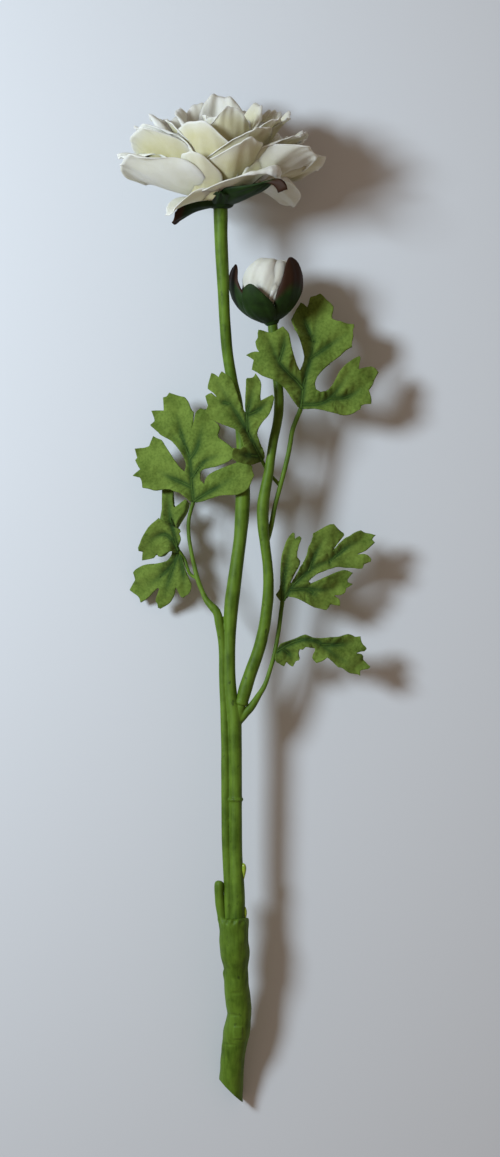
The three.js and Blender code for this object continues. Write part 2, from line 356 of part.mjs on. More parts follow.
// A round tapering stem through its stations, closed by flat ends; grow makes it
// larger all round, ends included
function limb(stations, sides, grow = 0) {
  const centres = stations.map(([u, v, z]) => place(u, v, z));
  const curve = new THREE.CatmullRomCurve3(centres.map((centre) => centre.clone()));
  centres[0].addScaledVector(curve.getTangent(0), -grow);
  centres[stations.length - 1].addScaledVector(curve.getTangent(1), grow);
  const points = [];
  const triangles = [];
  const last = stations.length - 1;
  stations.forEach(([, , , radius], i) => {
    const along = curve.getTangent(i / last);
    const across = new THREE.Vector3(along.y, -along.x, 0).normalize();
    const upward = new THREE.Vector3().crossVectors(across, along).normalize();
    for (let k = 0; k < sides; k += 1) {
      const turn = (2 * Math.PI * (k + 0.5)) / sides;
      points.push(centres[i].clone()
        .addScaledVector(across, (radius + grow) * Math.cos(turn))
        .addScaledVector(upward, (radius + grow) * Math.sin(turn)));
    }
  });
  for (let i = 0; i < last; i += 1) {
    for (let k = 0; k < sides; k += 1) {
      const next = (k + 1) % sides;
      const [a, b] = [i * sides + k, i * sides + next];
      triangles.push([a, a + sides, b], [b, a + sides, b + sides]);
    }
  }
  for (let k = 1; k < sides - 1; k += 1) {
    const far = last * sides;
    triangles.push([0, k, k + 1], [far, far + k + 1, far + k]);
  }
  return facingOut(geometryOf(points, triangles));
}

function signedVolume(positions, triangles) {
  const corner = (i) => new THREE.Vector3().fromArray(positions, 3 * i);
  return triangles.reduce((sum, [a, b, c]) => sum + corner(a).dot(corner(b).cross(corner(c))) / 6, 0);
}

function trianglesOf(index) {
  const triangles = [];
  for (let i = 0; i < index.length; i += 3) triangles.push([index[i], index[i + 1], index[i + 2]]);
  return triangles;
}

function facingOut(geometry) {
  const triangles = trianglesOf(geometry.getIndex().array);
  if (signedVolume(geometry.getAttribute('position').array, triangles) < 0) {
    geometry.setIndex(triangles.map(([a, b, c]) => [a, c, b]).flat());
  }
  return geometry;
}

// Points, edges and surfaces of a leaf: height over the table from its veins
function nearestOnVein(vein, u, v) {
  let best = { distance: Infinity, height: 0 };
  for (let i = 0; i + 1 < vein.length; i += 1) {
    const [u0, v0, z0] = vein[i];
    const [u1, v1, z1] = vein[i + 1];
    const lengthSquared = (u1 - u0) ** 2 + (v1 - v0) ** 2;
    const part = THREE.MathUtils.clamp(((u - u0) * (u1 - u0) + (v - v0) * (v1 - v0)) / lengthSquared, 0, 1);
    const distance = Math.hypot(u - u0 - part * (u1 - u0), v - v0 - part * (v1 - v0));
    if (distance < best.distance) best = { distance, height: z0 + part * (z1 - z0) };
  }
  return best;
}

function leafHeight({ veins, fold }, u, v) {
  const feet = veins.map((vein) => nearestOnVein(vein, u, v));
  const weights = feet.map(({ distance }) => 1 / (distance ** 3 + 1));
  const total = weights.reduce((sum, weight) => sum + weight, 0);
  const level = feet.reduce((sum, { height }, i) => sum + (height * weights[i]) / total, 0);
  const nearest = Math.min(...feet.map(({ distance }) => distance));
  const raised = fold * (1 - Math.exp(-nearest / LEAF_FOLD_WIDTH));
  return level + raised + LEAF_RIPPLE * Math.sin(u / 4.1 + v / 6.3);
}

function turnOf(p, q, r) {
  return (q.x - p.x) * (r.y - p.y) - (q.y - p.y) * (r.x - p.x);
}

function insideRing(ring, p) {
  let inside = false;
  ring.forEach((a, i) => {
    const b = ring[(i + 1) % ring.length];
    if ((a.y > p.y) !== (b.y > p.y) && p.x < ((b.x - a.x) * (p.y - a.y)) / (b.y - a.y) + a.x) inside = !inside;
  });
  return inside;
}

function distanceToRing(ring, p) {
  const foot = new THREE.Vector3();
  return Math.min(...ring.map((a, i) => {
    const b = ring[(i + 1) % ring.length];
    const edge = new THREE.Line3(new THREE.Vector3(a.x, a.y, 0), new THREE.Vector3(b.x, b.y, 0));
    edge.closestPointToPoint(new THREE.Vector3(p.x, p.y, 0), true, foot);
    return Math.hypot(foot.x - p.x, foot.y - p.y);
  }));
}

function insideCircle(a, b, c, p) {
  const row = (q) => [q.x - p.x, q.y - p.y, (q.x - p.x) ** 2 + (q.y - p.y) ** 2];
  const [[ax, ay, az], [bx, by, bz], [cx, cy, cz]] = [row(a), row(b), row(c)];
  return ax * (by * cz - bz * cy) - ay * (bx * cz - bz * cx) + az * (bx * cy - by * cx) > 1e-7;
}

function flipLongEdges(points, faces) {
  for (let round = 0, flips = 1; flips > 0 && round < 60; round += 1) {
    flips = 0;
    const owner = new Map();
    faces.forEach((face, f) => face.forEach((a, k) => owner.set(`${a} ${face[(k + 1) % 3]}`, f)));
    const touched = new Set();
    for (const [edge, f] of owner) {
      const [a, b] = edge.split(' ').map(Number);
      const g = owner.get(`${b} ${a}`);
      if (g === undefined || touched.has(f) || touched.has(g)) continue;
      const c = faces[f].find((i) => i !== a && i !== b);
      const d = faces[g].find((i) => i !== a && i !== b);
      const convex = turnOf(points[c], points[a], points[d]) > 0 && turnOf(points[d], points[b], points[c]) > 0;
      if (!convex || !insideCircle(points[a], points[b], points[c], points[d])) continue;
      faces[f] = [c, a, d];
      faces[g] = [d, b, c];
      touched.add(f).add(g);
      flips += 1;
    }
  }
}

function netOver(outline) {
  const ring = outline.map(([u, v]) => new THREE.Vector2(u, -v));
  if (THREE.ShapeUtils.isClockWise(ring)) ring.reverse();
  const points = [...ring];
  const box = new THREE.Box2().setFromPoints(ring);
  for (let x = box.min.x + LEAF_MESH_SPACING / 2; x < box.max.x; x += LEAF_MESH_SPACING) {
    for (let y = box.min.y + LEAF_MESH_SPACING / 2; y < box.max.y; y += LEAF_MESH_SPACING) {
      const p = new THREE.Vector2(x, y);
      if (insideRing(ring, p) && distanceToRing(ring, p) > LEAF_MESH_SPACING / 3) points.push(p);
    }
  }
  const faces = THREE.ShapeUtils.triangulateShape(ring, [])
    .map(([a, b, c]) => (turnOf(points[a], points[b], points[c]) > 0 ? [a, b, c] : [a, c, b]));
  for (let k = ring.length; k < points.length; k += 1) {
    const p = points[k];
    const home = faces.findIndex(([a, b, c]) => turnOf(points[a], points[b], p) >= 0
      && turnOf(points[b], points[c], p) >= 0 && turnOf(points[c], points[a], p) >= 0);
    const [a, b, c] = faces[home];
    faces.splice(home, 1, [a, b, k], [b, c, k], [c, a, k]);
  }
  flipLongEdges(points, faces);
  return { points, faces, rim: ring.length };
}

// A thin blade of even thickness on a middle surface, split alike on both faces
function thicken(middle, faces, rimLoop, thickness) {
  const surface = geometryOf(middle, faces);
  surface.computeVertexNormals();
  const normals = surface.getAttribute('normal');
  const count = middle.length;
  const offset = (i, side) => middle[i].clone()
    .addScaledVector(new THREE.Vector3().fromBufferAttribute(normals, i), (side * thickness) / 2);
  const points = [...middle.map((_, i) => offset(i, 1)), ...middle.map((_, i) => offset(i, -1))];
  const triangles = [...faces, ...faces.map(([a, b, c]) => [a + count, c + count, b + count])];
  rimLoop.forEach((a, i) => {
    const b = rimLoop[(i + 1) % rimLoop.length];
    triangles.push([a, a + count, b], [b, a + count, b + count]);
  });
  return geometryOf(points, triangles);
}

function leafBlade(leaf, grow = 0) {
  const { points, faces, rim } = netOver(leaf.outline);
  const middle = points.map(({ x, y }) => place(x, -y, leafHeight(leaf, x, -y)));
  const rimLoop = Array.from({ length: rim }, (_, i) => i);
  return facingOut(thicken(middle, faces, rimLoop, LEAF_THICKNESS + 2 * grow));
}

// The frame of a bloom or bud: its seat on the stem, its axis and two cross directions
function headFrame({ u, v, z }, nod, lean) {
  const tilt = new THREE.Euler(THREE.MathUtils.degToRad(nod), 0, THREE.MathUtils.degToRad(-lean), 'ZXY');
  const turned = (x, y, w) => new THREE.Vector3(x, y, w).applyEuler(tilt);
  return { seat: place(u, v, z), right: turned(1, 0, 0), axis: turned(0, 1, 0), front: turned(0, 0, 1) };
}

function aboveTable(point) {
  if (point.z < TABLE_CUSHION) point.z = TABLE_CUSHION * Math.exp(point.z / TABLE_CUSHION - 1);
  return point;
}

// One curved petal or sepal: a slope that turns from rise to tip along its length,
// hollowed across by its cup radius, with a waved rim
function petalBlade(head, petal, widening, thickness, rows, columns) {
  const { around, rise, tip, length, width, cup, ruffle, root, base = 0, twist = 0, slant = 0 } = petal;
  const slope0 = THREE.MathUtils.degToRad(rise);
  const bend = THREE.MathUtils.degToRad(tip - rise || 0.01) / length;
  const middle = [];
  for (let i = 0; i <= rows; i += 1) {
    for (let j = 0; j <= columns; j += 1) {
      const side = (2 * j) / columns - 1;
      const run = (length * i * (1 + slant * side - widening.blunt * Math.abs(side) ** 2.4)) / rows;
      const part = run / length;
      const slope = slope0 + bend * run;
      const half = (width / 2) * Math.sin(Math.PI * (widening.foot + (widening.end - widening.foot) * part));
      const bow = (side * half) / cup;
      const wave = ruffle * part ** 2 * Math.sin(2.6 * Math.PI * side + around);
      const lift = cup * (1 - Math.cos(bow)) + wave;
      const outward = root + (Math.sin(slope) - Math.sin(slope0)) / bend - lift * Math.sin(slope);
      const upward = base + (Math.cos(slope0) - Math.cos(slope)) / bend + lift * Math.cos(slope);
      const turn = THREE.MathUtils.degToRad(around + twist * part);
      const sideways = cup * Math.sin(bow);
      middle.push(aboveTable(head.seat.clone()
        .addScaledVector(head.right, outward * Math.sin(turn) + sideways * Math.cos(turn))
        .addScaledVector(head.front, outward * Math.cos(turn) - sideways * Math.sin(turn))
        .addScaledVector(head.axis, upward)));
    }
  }
  const at = (i, j) => i * (columns + 1) + j;
  const faces = [];
  for (let i = 0; i < rows; i += 1) {
    for (let j = 0; j < columns; j += 1) {
      faces.push([at(i, j), at(i, j + 1), at(i + 1, j)], [at(i, j + 1), at(i + 1, j + 1), at(i + 1, j)]);
    }
  }
  const rim = [];
  for (let j = 0; j < columns; j += 1) rim.push(at(0, j));
  for (let i = 0; i < rows; i += 1) rim.push(at(i, columns));
  for (let j = columns; j > 0; j -= 1) rim.push(at(rows, j));
  for (let i = rows; i > 0; i -= 1) rim.push(at(i, 0));
  return facingOut(thicken(middle, faces, rim, thickness));
}

function ringOf({ count, first, ...petal }) {
  return Array.from({ length: count }, (_, i) => ({ ...petal, around: first + (360 / count) * i }));
}

// A turned body about the axis of a bloom or bud
function turnedBody(head, profile, sides) {
  const lathe = new THREE.LatheGeometry(profile.map(([r, h]) => new THREE.Vector2(r, h)), sides);
  const basis = new THREE.Matrix4().makeBasis(head.right, head.axis, head.front).setPosition(head.seat);
  return facingOut(mergedShell(lathe.applyMatrix4(basis)));
}

function mergedShell(geometry) {
  geometry.deleteAttribute('normal');
  geometry.deleteAttribute('uv');
  const merged = mergeVertices(geometry, 1e-4);
  const kept = trianglesOf(merged.getIndex().array).filter(([a, b, c]) => a !== b && b !== c && c !== a);
  merged.setIndex(kept.flat());
  return merged;
}

function solidOf(geometry) {
  const vertProperties = new Float32Array(geometry.getAttribute('position').array);
  const triVerts = new Uint32Array(geometry.getIndex().array);
  return new wasm.Manifold(new wasm.Mesh({ numProp: 3, vertProperties, triVerts }));
}

function joined(geometries) {
  return geometries.map(solidOf).reduce((whole, next) => whole.add(next));
}

// The outer skin of a joined solid: sealed hollows are filled and loose scraps dropped
function outerSkin(solid) {
  const { vertProperties, triVerts } = solid.getMesh();
  const triangles = trianglesOf(triVerts);
  const parent = Array.from({ length: vertProperties.length / 3 }, (_, i) => i);
  const rootOf = (i) => {
    let root = i;
    while (parent[root] !== root) root = parent[root];
    parent[i] = root;
    return root;
  };
  triangles.forEach(([a, b, c]) => {
    parent[rootOf(a)] = rootOf(b);
    parent[rootOf(b)] = rootOf(c);
  });
  const shells = new Map();
  triangles.forEach((triangle) => {
    const root = rootOf(triangle[0]);
    if (!shells.has(root)) shells.set(root, []);
    shells.get(root).push(triangle);
  });
  const sized = [...shells.values()].map((shell) => ({ shell, volume: signedVolume(vertProperties, shell) }));
  const largest = sized.reduce((best, next) => (next.volume > best.volume ? next : best));
  const geometry = new THREE.BufferGeometry();
  geometry.setAttribute('position', new THREE.BufferAttribute(new Float32Array(vertProperties), 3));
  geometry.setIndex(largest.shell.flat());
  return geometry.toNonIndexed();
}

// A block that takes away everything beyond the slanting cut of the stem's end
function cutBlock({ from, to }, depth) {
  const [start, end] = [place(from[0], from[1], 0), place(to[0], to[1], 0)];
  const block = new THREE.BoxGeometry(2 * depth, depth, 2 * depth);
  const slant = Math.atan2(end.y - start.y, end.x - start.x);
  const middle = start.clone().add(end).multiplyScalar(0.5);
  block.translate(0, -depth / 2, 0).rotateZ(slant).translate(middle.x, middle.y, 0);
  return mergedShell(block);
}

const STEM_GREEN = { color: '#5f8a2c', roughness: 0.55 };
const LEAF_GREEN = { color: '#557a36', roughness: 0.85 };
const SEPAL_GREEN = { color: '#1f3517', roughness: 0.75 };
const PETAL_WHITE = { color: '#e4e6dd', roughness: 0.9 };

const flower = new THREE.Group();

function addPiece(name, geometry, look) {
  const mesh = new THREE.Mesh(geometry, new THREE.MeshStandardMaterial({ ...look, metalness: 0 }));
  mesh.name = name;
  flower.add(mesh);
}

const mainParts = (grow) => [
  limb(FLOWER_STRAND, 10, grow), limb(LEAF_STRAND, 8, grow), limb(BUD_PEG, 8, grow), limb(RIGHT_PEG, 8, grow),
];
const mainStem = joined(mainParts(0));
const mainStemRoom = joined(mainParts(JOINT_GAP));
const budStemRoom = solidOf(limb(BUD_STEM, 10, JOINT_GAP));
const budStem = solidOf(limb(BUD_STEM, 10)).subtract(mainStemRoom);
const sleeve = joined([limb(SLEEVE, 12), limb(SIDE_NUB, 8)])
  .subtract(mainStemRoom)
  .subtract(solidOf(cutBlock(CUT_END, 60)));
const leafRoom = (leaf) => solidOf(leafBlade(leaf, JOINT_GAP));
const leftStalk = joined([limb(LEFT_STALK, 8), limb(LEFT_SIDE_STALK, 6)])
  .subtract(mainStemRoom).subtract(leafRoom(LEFT_END_LEAF)).subtract(leafRoom(LEFT_SIDE_LEAF));
const rightStalk = solidOf(limb(RIGHT_STALK, 8)).subtract(mainStemRoom).subtract(budStemRoom)
  .subtract(leafRoom(RIGHT_END_LEAF)).subtract(leafRoom(RIGHT_SIDE_LEAF));
const upperStalk = joined([limb(UPPER_STALK, 8), limb(UPPER_SIDE_STALK, 6)])
  .subtract(budStemRoom).subtract(leafRoom(UPPER_END_LEAF)).subtract(leafRoom(UPPER_SIDE_LEAF));

addPiece('stem_sleeve', outerSkin(sleeve), STEM_GREEN);
addPiece('main_stem', outerSkin(mainStem), STEM_GREEN);
addPiece('bud_stem', outerSkin(budStem), STEM_GREEN);
addPiece('left_leaf_stalk', outerSkin(leftStalk), STEM_GREEN);
addPiece('right_leaf_stalk', outerSkin(rightStalk), STEM_GREEN);
addPiece('upper_leaf_stalk', outerSkin(upperStalk), STEM_GREEN);

const leftSideBlades = [LEFT_SIDE_LEAF, LEFT_SIDE_FRONT_LOBE, LEFT_SIDE_BACK_LOBE].map(leafBlade);
addPiece('left_end_leaf', outerSkin(solidOf(leafBlade(LEFT_END_LEAF))), LEAF_GREEN);
addPiece('left_side_leaf', outerSkin(joined(leftSideBlades)), LEAF_GREEN);
addPiece('right_end_leaf', outerSkin(solidOf(leafBlade(RIGHT_END_LEAF))), LEAF_GREEN);
addPiece('right_side_leaf', outerSkin(solidOf(leafBlade(RIGHT_SIDE_LEAF))), LEAF_GREEN);
addPiece('upper_end_leaf', outerSkin(solidOf(leafBlade(UPPER_END_LEAF))), LEAF_GREEN);
addPiece('upper_side_leaf', outerSkin(solidOf(leafBlade(UPPER_SIDE_LEAF))), LEAF_GREEN);

function bladesOf(head, petals, widening, thickness, rows, columns) {
  return petals.map((petal) => petalBlade(head, petal, widening, thickness, rows, columns));
}

// A calyx, and the petals that it holds with a clearance all round
function addHead(name, head, petals, core, sepals, cup, rows, columns) {
  const grown = (sepal, grow) => ({
    ...sepal, width: sepal.width + 2 * grow, length: sepal.length + 2 * grow, root: sepal.root - grow,
  });
  const calyxParts = (grow) => joined([
    turnedBody(head, cup, 10),
    ...bladesOf(head, sepals.map((sepal) => grown(sepal, grow)), SEPAL_WIDENING, SEPAL_THICKNESS + 2 * grow, 5, 4),
  ]);
  const petalBlades = bladesOf(head, petals, PETAL_WIDENING, PETAL_THICKNESS, rows, columns);
  const whites = joined([turnedBody(head, core, 12), ...petalBlades]).subtract(calyxParts(JOINT_GAP));
  addPiece(`${name}_petals`, outerSkin(whites), PETAL_WHITE);
  addPiece(`${name}_calyx`, outerSkin(calyxParts(0)), SEPAL_GREEN);
}

const bloom = headFrame(BLOOM_SEAT, BLOOM_NOD, 0);
addHead('bloom', bloom, [...BLOOM_PETALS, ...ringOf(HEART_RING)], BLOOM_CORE, BLOOM_SEPALS, BLOOM_CALYX_CUP, 3, 5);
const bud = headFrame(BUD_SEAT, BUD_NOD, BUD_LEAN);
addHead('bud', bud, ringOf(BUD_PETAL_RING), BUD_CORE, BUD_SEPALS, BUD_CALYX_CUP, 4, 4);

// The origin is the middle of the box that the spray fills, on the table
const box = new THREE.Box3().setFromObject(flower);
const middle = box.getCenter(new THREE.Vector3());
flower.position.set(-middle.x, -middle.y, -box.min.z);

export default flower;
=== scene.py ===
# %% [markdown]
# # An artificial ranunculus spray
# The object is one cloth flower and one bud on a moulded green stem, with three stalks
# of cut leaves. It lies on its back on a pale table and the camera looks down on it.
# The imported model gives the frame: every piece below is made around it, in metres.

# %% Load the frame
import math
from contextlib import contextmanager

import bpy
import numpy as np
from mathutils import Matrix, Vector, noise


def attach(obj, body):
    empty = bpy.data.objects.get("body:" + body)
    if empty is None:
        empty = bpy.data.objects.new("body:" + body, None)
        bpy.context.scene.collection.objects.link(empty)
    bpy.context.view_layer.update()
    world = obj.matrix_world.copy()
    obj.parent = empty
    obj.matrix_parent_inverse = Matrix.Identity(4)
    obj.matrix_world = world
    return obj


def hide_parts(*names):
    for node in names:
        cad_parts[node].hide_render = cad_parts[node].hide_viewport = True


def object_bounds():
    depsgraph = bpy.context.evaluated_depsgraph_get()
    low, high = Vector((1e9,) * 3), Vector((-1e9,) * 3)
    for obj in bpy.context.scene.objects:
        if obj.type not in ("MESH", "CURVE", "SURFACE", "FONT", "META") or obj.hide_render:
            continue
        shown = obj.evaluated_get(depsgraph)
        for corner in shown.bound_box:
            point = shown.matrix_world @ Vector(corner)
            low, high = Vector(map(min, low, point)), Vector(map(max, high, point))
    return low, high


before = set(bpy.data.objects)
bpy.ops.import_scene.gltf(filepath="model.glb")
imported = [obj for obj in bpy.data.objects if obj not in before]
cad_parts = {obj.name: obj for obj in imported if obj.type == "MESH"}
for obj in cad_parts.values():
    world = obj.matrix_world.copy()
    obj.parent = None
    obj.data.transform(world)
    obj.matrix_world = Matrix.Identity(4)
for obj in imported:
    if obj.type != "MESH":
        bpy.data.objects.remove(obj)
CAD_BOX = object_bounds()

MM = 0.001
print("the model's box in millimetres:", [[round(c / MM, 1) for c in corner] for corner in CAD_BOX])

# %% [markdown]
# The model was traced from straight above, in outline units: u runs to the right and v
# runs down the stem. One unit is 0.45 mm at the height where sizes are true, and a little
# more or less above and below it, as the eye sees it. The same rule places each piece
# here, so that what is drawn at a traced point lands on it.

# %% The traced view
OUTLINE_UNIT = 0.45
OUTLINE_CENTRE = (250.0, 578.5)
OUTLINE_SIZE = (500, 1157)
TRUE_SIZE_LEVEL = 30.0
EYE_HEIGHT = 1200.0
FRAME_SHIFT = np.array([0.004, 12.834, -0.904])


def place(u, v, z):
    """A traced point at its height, in millimetres in the frame."""
    size = OUTLINE_UNIT * (1 - (z - TRUE_SIZE_LEVEL) / EYE_HEIGHT)
    flat = np.array([(u - OUTLINE_CENTRE[0]) * size, (OUTLINE_CENTRE[1] - v) * size, z])
    return flat + FRAME_SHIFT


print("the middle of the outline:", place(*OUTLINE_CENTRE, TRUE_SIZE_LEVEL).round(2))

# %% [markdown]
# ## Camera, light and table
# The camera hangs over the middle of the outline and looks straight down. Its lens is
# the one that makes one outline unit one pixel of the photograph at the true level.

# %% Camera
SENSOR = 36.0
eye = place(*OUTLINE_CENTRE, EYE_HEIGHT + TRUE_SIZE_LEVEL) * MM
bpy.ops.object.camera_add(location=eye, rotation=(0, 0, 0))
camera = bpy.context.object
camera.data.sensor_fit = "VERTICAL"
camera.data.sensor_height = SENSOR
camera.data.lens = SENSOR * EYE_HEIGHT / (OUTLINE_SIZE[1] * OUTLINE_UNIT)
bpy.context.scene.camera = camera
print("lens", round(camera.data.lens, 2))

# %% [markdown]
# The light comes from the upper left through a wide soft lamp. A disk was chosen over a
# sun, because the shadows of the spray are soft at their far ends. A dim warm world
# fills them, so that they aren't black.

# %% Light
LAMP_DIRECTION = Vector((-0.86, 0.4, 0.95))
LAMP_DISTANCE = 0.82
LAMP_SIZE = 0.24
LAMP_POWER = 7.6
LAMP_COLOUR = (0.82, 0.95, 1.07)
FILL_COLOUR = (1.0, 0.76, 0.59)
FILL_STRENGTH = 0.28

middle_of_box = Vector(CAD_BOX[0]).lerp(Vector(CAD_BOX[1]), 0.5)
lamp_place = middle_of_box + LAMP_DIRECTION.normalized() * LAMP_DISTANCE
bpy.ops.object.light_add(type="AREA", location=lamp_place)
lamp = bpy.context.object
lamp.data.shape = "DISK"
lamp.data.size = LAMP_SIZE
lamp.data.energy = LAMP_POWER
lamp.data.color = LAMP_COLOUR
lamp.rotation_euler = LAMP_DIRECTION.to_track_quat("Z", "Y").to_euler()

world = bpy.data.worlds.new("soft_fill")
world.use_nodes = True
world.node_tree.nodes["Background"].inputs["Color"].default_value = (*FILL_COLOUR, 1)
world.node_tree.nodes["Background"].inputs["Strength"].default_value = FILL_STRENGTH
bpy.context.scene.world = world
bpy.context.scene.view_settings.view_transform = "Standard"
print("lamp at", [round(c, 3) for c in lamp_place])

# %% [markdown]
# The table is one plain sheet, wide enough to reach past the picture on every side. It
# belongs to the stage and not to the object.

# %% Table
TABLE_SIZE = 6.0

bpy.ops.mesh.primitive_plane_add(size=TABLE_SIZE, location=(0, 0, CAD_BOX[0][2]))
table = bpy.context.object
table.name = "table"
print("table at height", round(CAD_BOX[0][2] / MM, 2), "mm")

# %% [markdown]
# ## Helpers for making pieces
# Every operator acts on what is selected, and the loaded model is selected, so each
# step starts by letting go of everything. A modifier is applied as soon as it is added,
# so that the next step works on the mesh that shows.


# %% Selecting, joining and modifiers
def only(*objects):
    """Selects just these objects and makes the first one active."""
    if bpy.context.object and bpy.context.object.mode != "OBJECT":
        bpy.ops.object.mode_set(mode="OBJECT")
    bpy.ops.object.select_all(action="DESELECT")
    for obj in objects:
        obj.select_set(True)
    bpy.context.view_layer.objects.active = objects[0]


def joined(name, objects):
    """One object made of several, under a new name."""
    only(*objects)
    if len(objects) > 1:
        bpy.ops.object.join()
    result = bpy.context.object
    result.name = name
    result.data.name = name
    return result


def applied(obj, kind, **settings):
    """Adds one modifier with these settings and applies it."""
    only(obj)
    bpy.ops.object.modifier_add(type=kind)
    modifier = obj.modifiers[-1]
    for key, value in settings.items():
        setattr(modifier, key, value)
    bpy.ops.object.modifier_apply(modifier=modifier.name)
    return obj


# %% [markdown]
# Mesh operators such as merge or spin work only in edit mode, on what is selected there.
# The lines between its start and its end are wrapped in one helper, so that no step
# forgets to leave edit mode again.


# %% Edit mode
@contextmanager
def editing(obj):
    """Edit mode with the whole mesh selected, and object mode again after it."""
    only(obj)
    bpy.ops.object.mode_set(mode="EDIT")
    bpy.ops.mesh.select_all(action="SELECT")
    yield
    bpy.ops.object.mode_set(mode="OBJECT")


# %% [markdown]
# Cloth is bent by moving all its points at once, which is quickest on an array. A number
# stored on each point, such as how far along the petal it lies, tells the material later
# where dye and wear go.


# %% Reading, moving and marking points
def points_of(obj):
    """The piece's vertices in millimetres."""
    points = np.empty(len(obj.data.vertices) * 3)
    obj.data.vertices.foreach_get("co", points)
    return points.reshape(-1, 3) / MM


def set_points(obj, points):
    """Moves the piece's vertices to these places, given in millimetres."""
    obj.data.vertices.foreach_set("co", (points * MM).ravel())
    obj.data.update()


def mark(obj, name, values):
    """Stores one number a vertex, for the material to read."""
    layer = obj.data.attributes.get(name) or obj.data.attributes.new(name, "FLOAT", "POINT")
    layer.data.foreach_set("value", np.broadcast_to(values, len(obj.data.vertices)).astype(float))


# %% [markdown]
# Each finished piece is shaded smooth, given its one material, and tied to the frame: it
# rides on the root body, has a material slot, and may take the place of a model's node.

# %% Finishing a piece
pieces_made = []


def finished(obj, material, slot, *nodes):
    """Smooth shading, the material, and the ties to the frame."""
    only(obj)
    bpy.ops.object.transform_apply(location=True, rotation=True, scale=True)
    bpy.ops.object.shade_smooth()
    obj.data.materials.clear()
    obj.data.materials.append(material)
    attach(obj, "root")
    if nodes:
        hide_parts(*nodes)
    pieces_made.append(obj.name)
    print(obj.name, len(obj.data.polygons), "faces")
    return obj


# %% [markdown]
# ## Finishes
# Four things make up the spray: moulded plastic on the stems, pressed cloth on the
# leaves, darker cloth on the sepals and thin white cloth on the petals. Each finish
# reads the object's own coordinates, so the pattern stays on the piece from any side.


# %% A finish to start from
def new_finish(name, roughness, specular=0.5, sheen=0.0, subsurface=0.0):
    """A material with its plain numbers set on the shader itself."""
    material = bpy.data.materials.new(name)
    material.use_nodes = True
    tree = material.node_tree
    shader = tree.nodes["Principled BSDF"]
    shader.inputs["Roughness"].default_value = roughness
    shader.inputs["Specular IOR Level"].default_value = specular
    shader.inputs["Sheen Weight"].default_value = sheen
    shader.inputs["Subsurface Weight"].default_value = subsurface
    return material, tree, shader


def feed(tree, socket, value):
    """Gives a socket what it needs: another node's output, a colour or a number."""
    if hasattr(value, "links"):
        tree.links.new(value, socket)
    elif isinstance(value, tuple):
        socket.default_value = (*value, 1)
    else:
        socket.default_value = value


# %% [markdown]
# The patterns start from noise, which gives clouds and fibres, or from a number that
# mark() stored. A colour ramp turns either into a print. Painted pictures would do too,
# but they need unwrapping, and blur when the camera comes near.

# %% Noise, stored numbers and ramps
GRAIN_ROUGHNESS = 0.55
BLACK = (0, 0, 0)
WHITE = (1, 1, 1)


def grain(tree, scale, detail=3.0, stretch=(1, 1, 1)):
    """Noise on the object's coordinates, stretched along an axis where wanted."""
    coordinates = tree.nodes.new("ShaderNodeTexCoord")
    mapping = tree.nodes.new("ShaderNodeMapping")
    mapping.inputs["Scale"].default_value = stretch
    tree.links.new(coordinates.outputs["Object"], mapping.inputs["Vector"])
    texture = tree.nodes.new("ShaderNodeTexNoise")
    for label, value in (("Scale", scale), ("Detail", detail), ("Roughness", GRAIN_ROUGHNESS)):
        texture.inputs[label].default_value = value
    tree.links.new(mapping.outputs["Vector"], texture.inputs["Vector"])
    return texture.outputs["Fac"]


def marked(tree, name):
    """The number that mark() stored on the piece's vertices."""
    node = tree.nodes.new("ShaderNodeAttribute")
    node.attribute_name = name
    return node.outputs["Fac"]


def ramp(tree, source, *stops):
    """A colour ramp from (position, colour) stops."""
    node = tree.nodes.new("ShaderNodeValToRGB")
    elements = node.color_ramp.elements
    while len(elements) < len(stops):
        elements.new(0.5)
    for element, (position, colour) in zip(elements, stops):
        element.position = position
        element.color = (*colour, 1)
    tree.links.new(source, node.inputs["Fac"])
    return node.outputs["Color"]


# %% [markdown]
# Prints are laid over one another by mixing, with another pattern as the mask. Relief
# that is too small to model, such as a weave, is left to bumps, which only turn the
# light.

# %% Mixing, sums and relief
MIX_SOCKETS = dict(factor=0, first=6, second=7, result=2)


def mixed(tree, factor, first, second):
    """Mixes two colours; a factor that is a number is used everywhere."""
    node = tree.nodes.new("ShaderNodeMix")
    node.data_type = "RGBA"
    for name, value in (("factor", factor), ("first", first), ("second", second)):
        feed(tree, node.inputs[MIX_SOCKETS[name]], value)
    return node.outputs[MIX_SOCKETS["result"]]


def worked(tree, operation, *values):
    """One sum on numbers or on other nodes' outputs."""
    node = tree.nodes.new("ShaderNodeMath")
    node.operation = operation
    for socket, value in zip(node.inputs, values):
        feed(tree, socket, value)
    return node.outputs[0]


def relief(tree, shader, *layers):
    """Stacks bumps, each a (height source, strength, depth in millimetres)."""
    below = None
    for source, strength, depth in layers:
        bump = tree.nodes.new("ShaderNodeBump")
        bump.inputs["Strength"].default_value = strength
        bump.inputs["Distance"].default_value = depth * MM
        tree.links.new(source, bump.inputs["Height"])
        if below:
            tree.links.new(below, bump.inputs["Normal"])
        below = bump.outputs["Normal"]
    tree.links.new(below, shader.inputs["Normal"])


# %% [markdown]
# The stems are polyethylene: a satin skin, slightly waxy, a little paler where the
# plastic is thin and dusted with fine scratches along its length. Noise drawn out along
# the stem makes the streaks, and noise that isn't makes the clouds and specks of dirt.

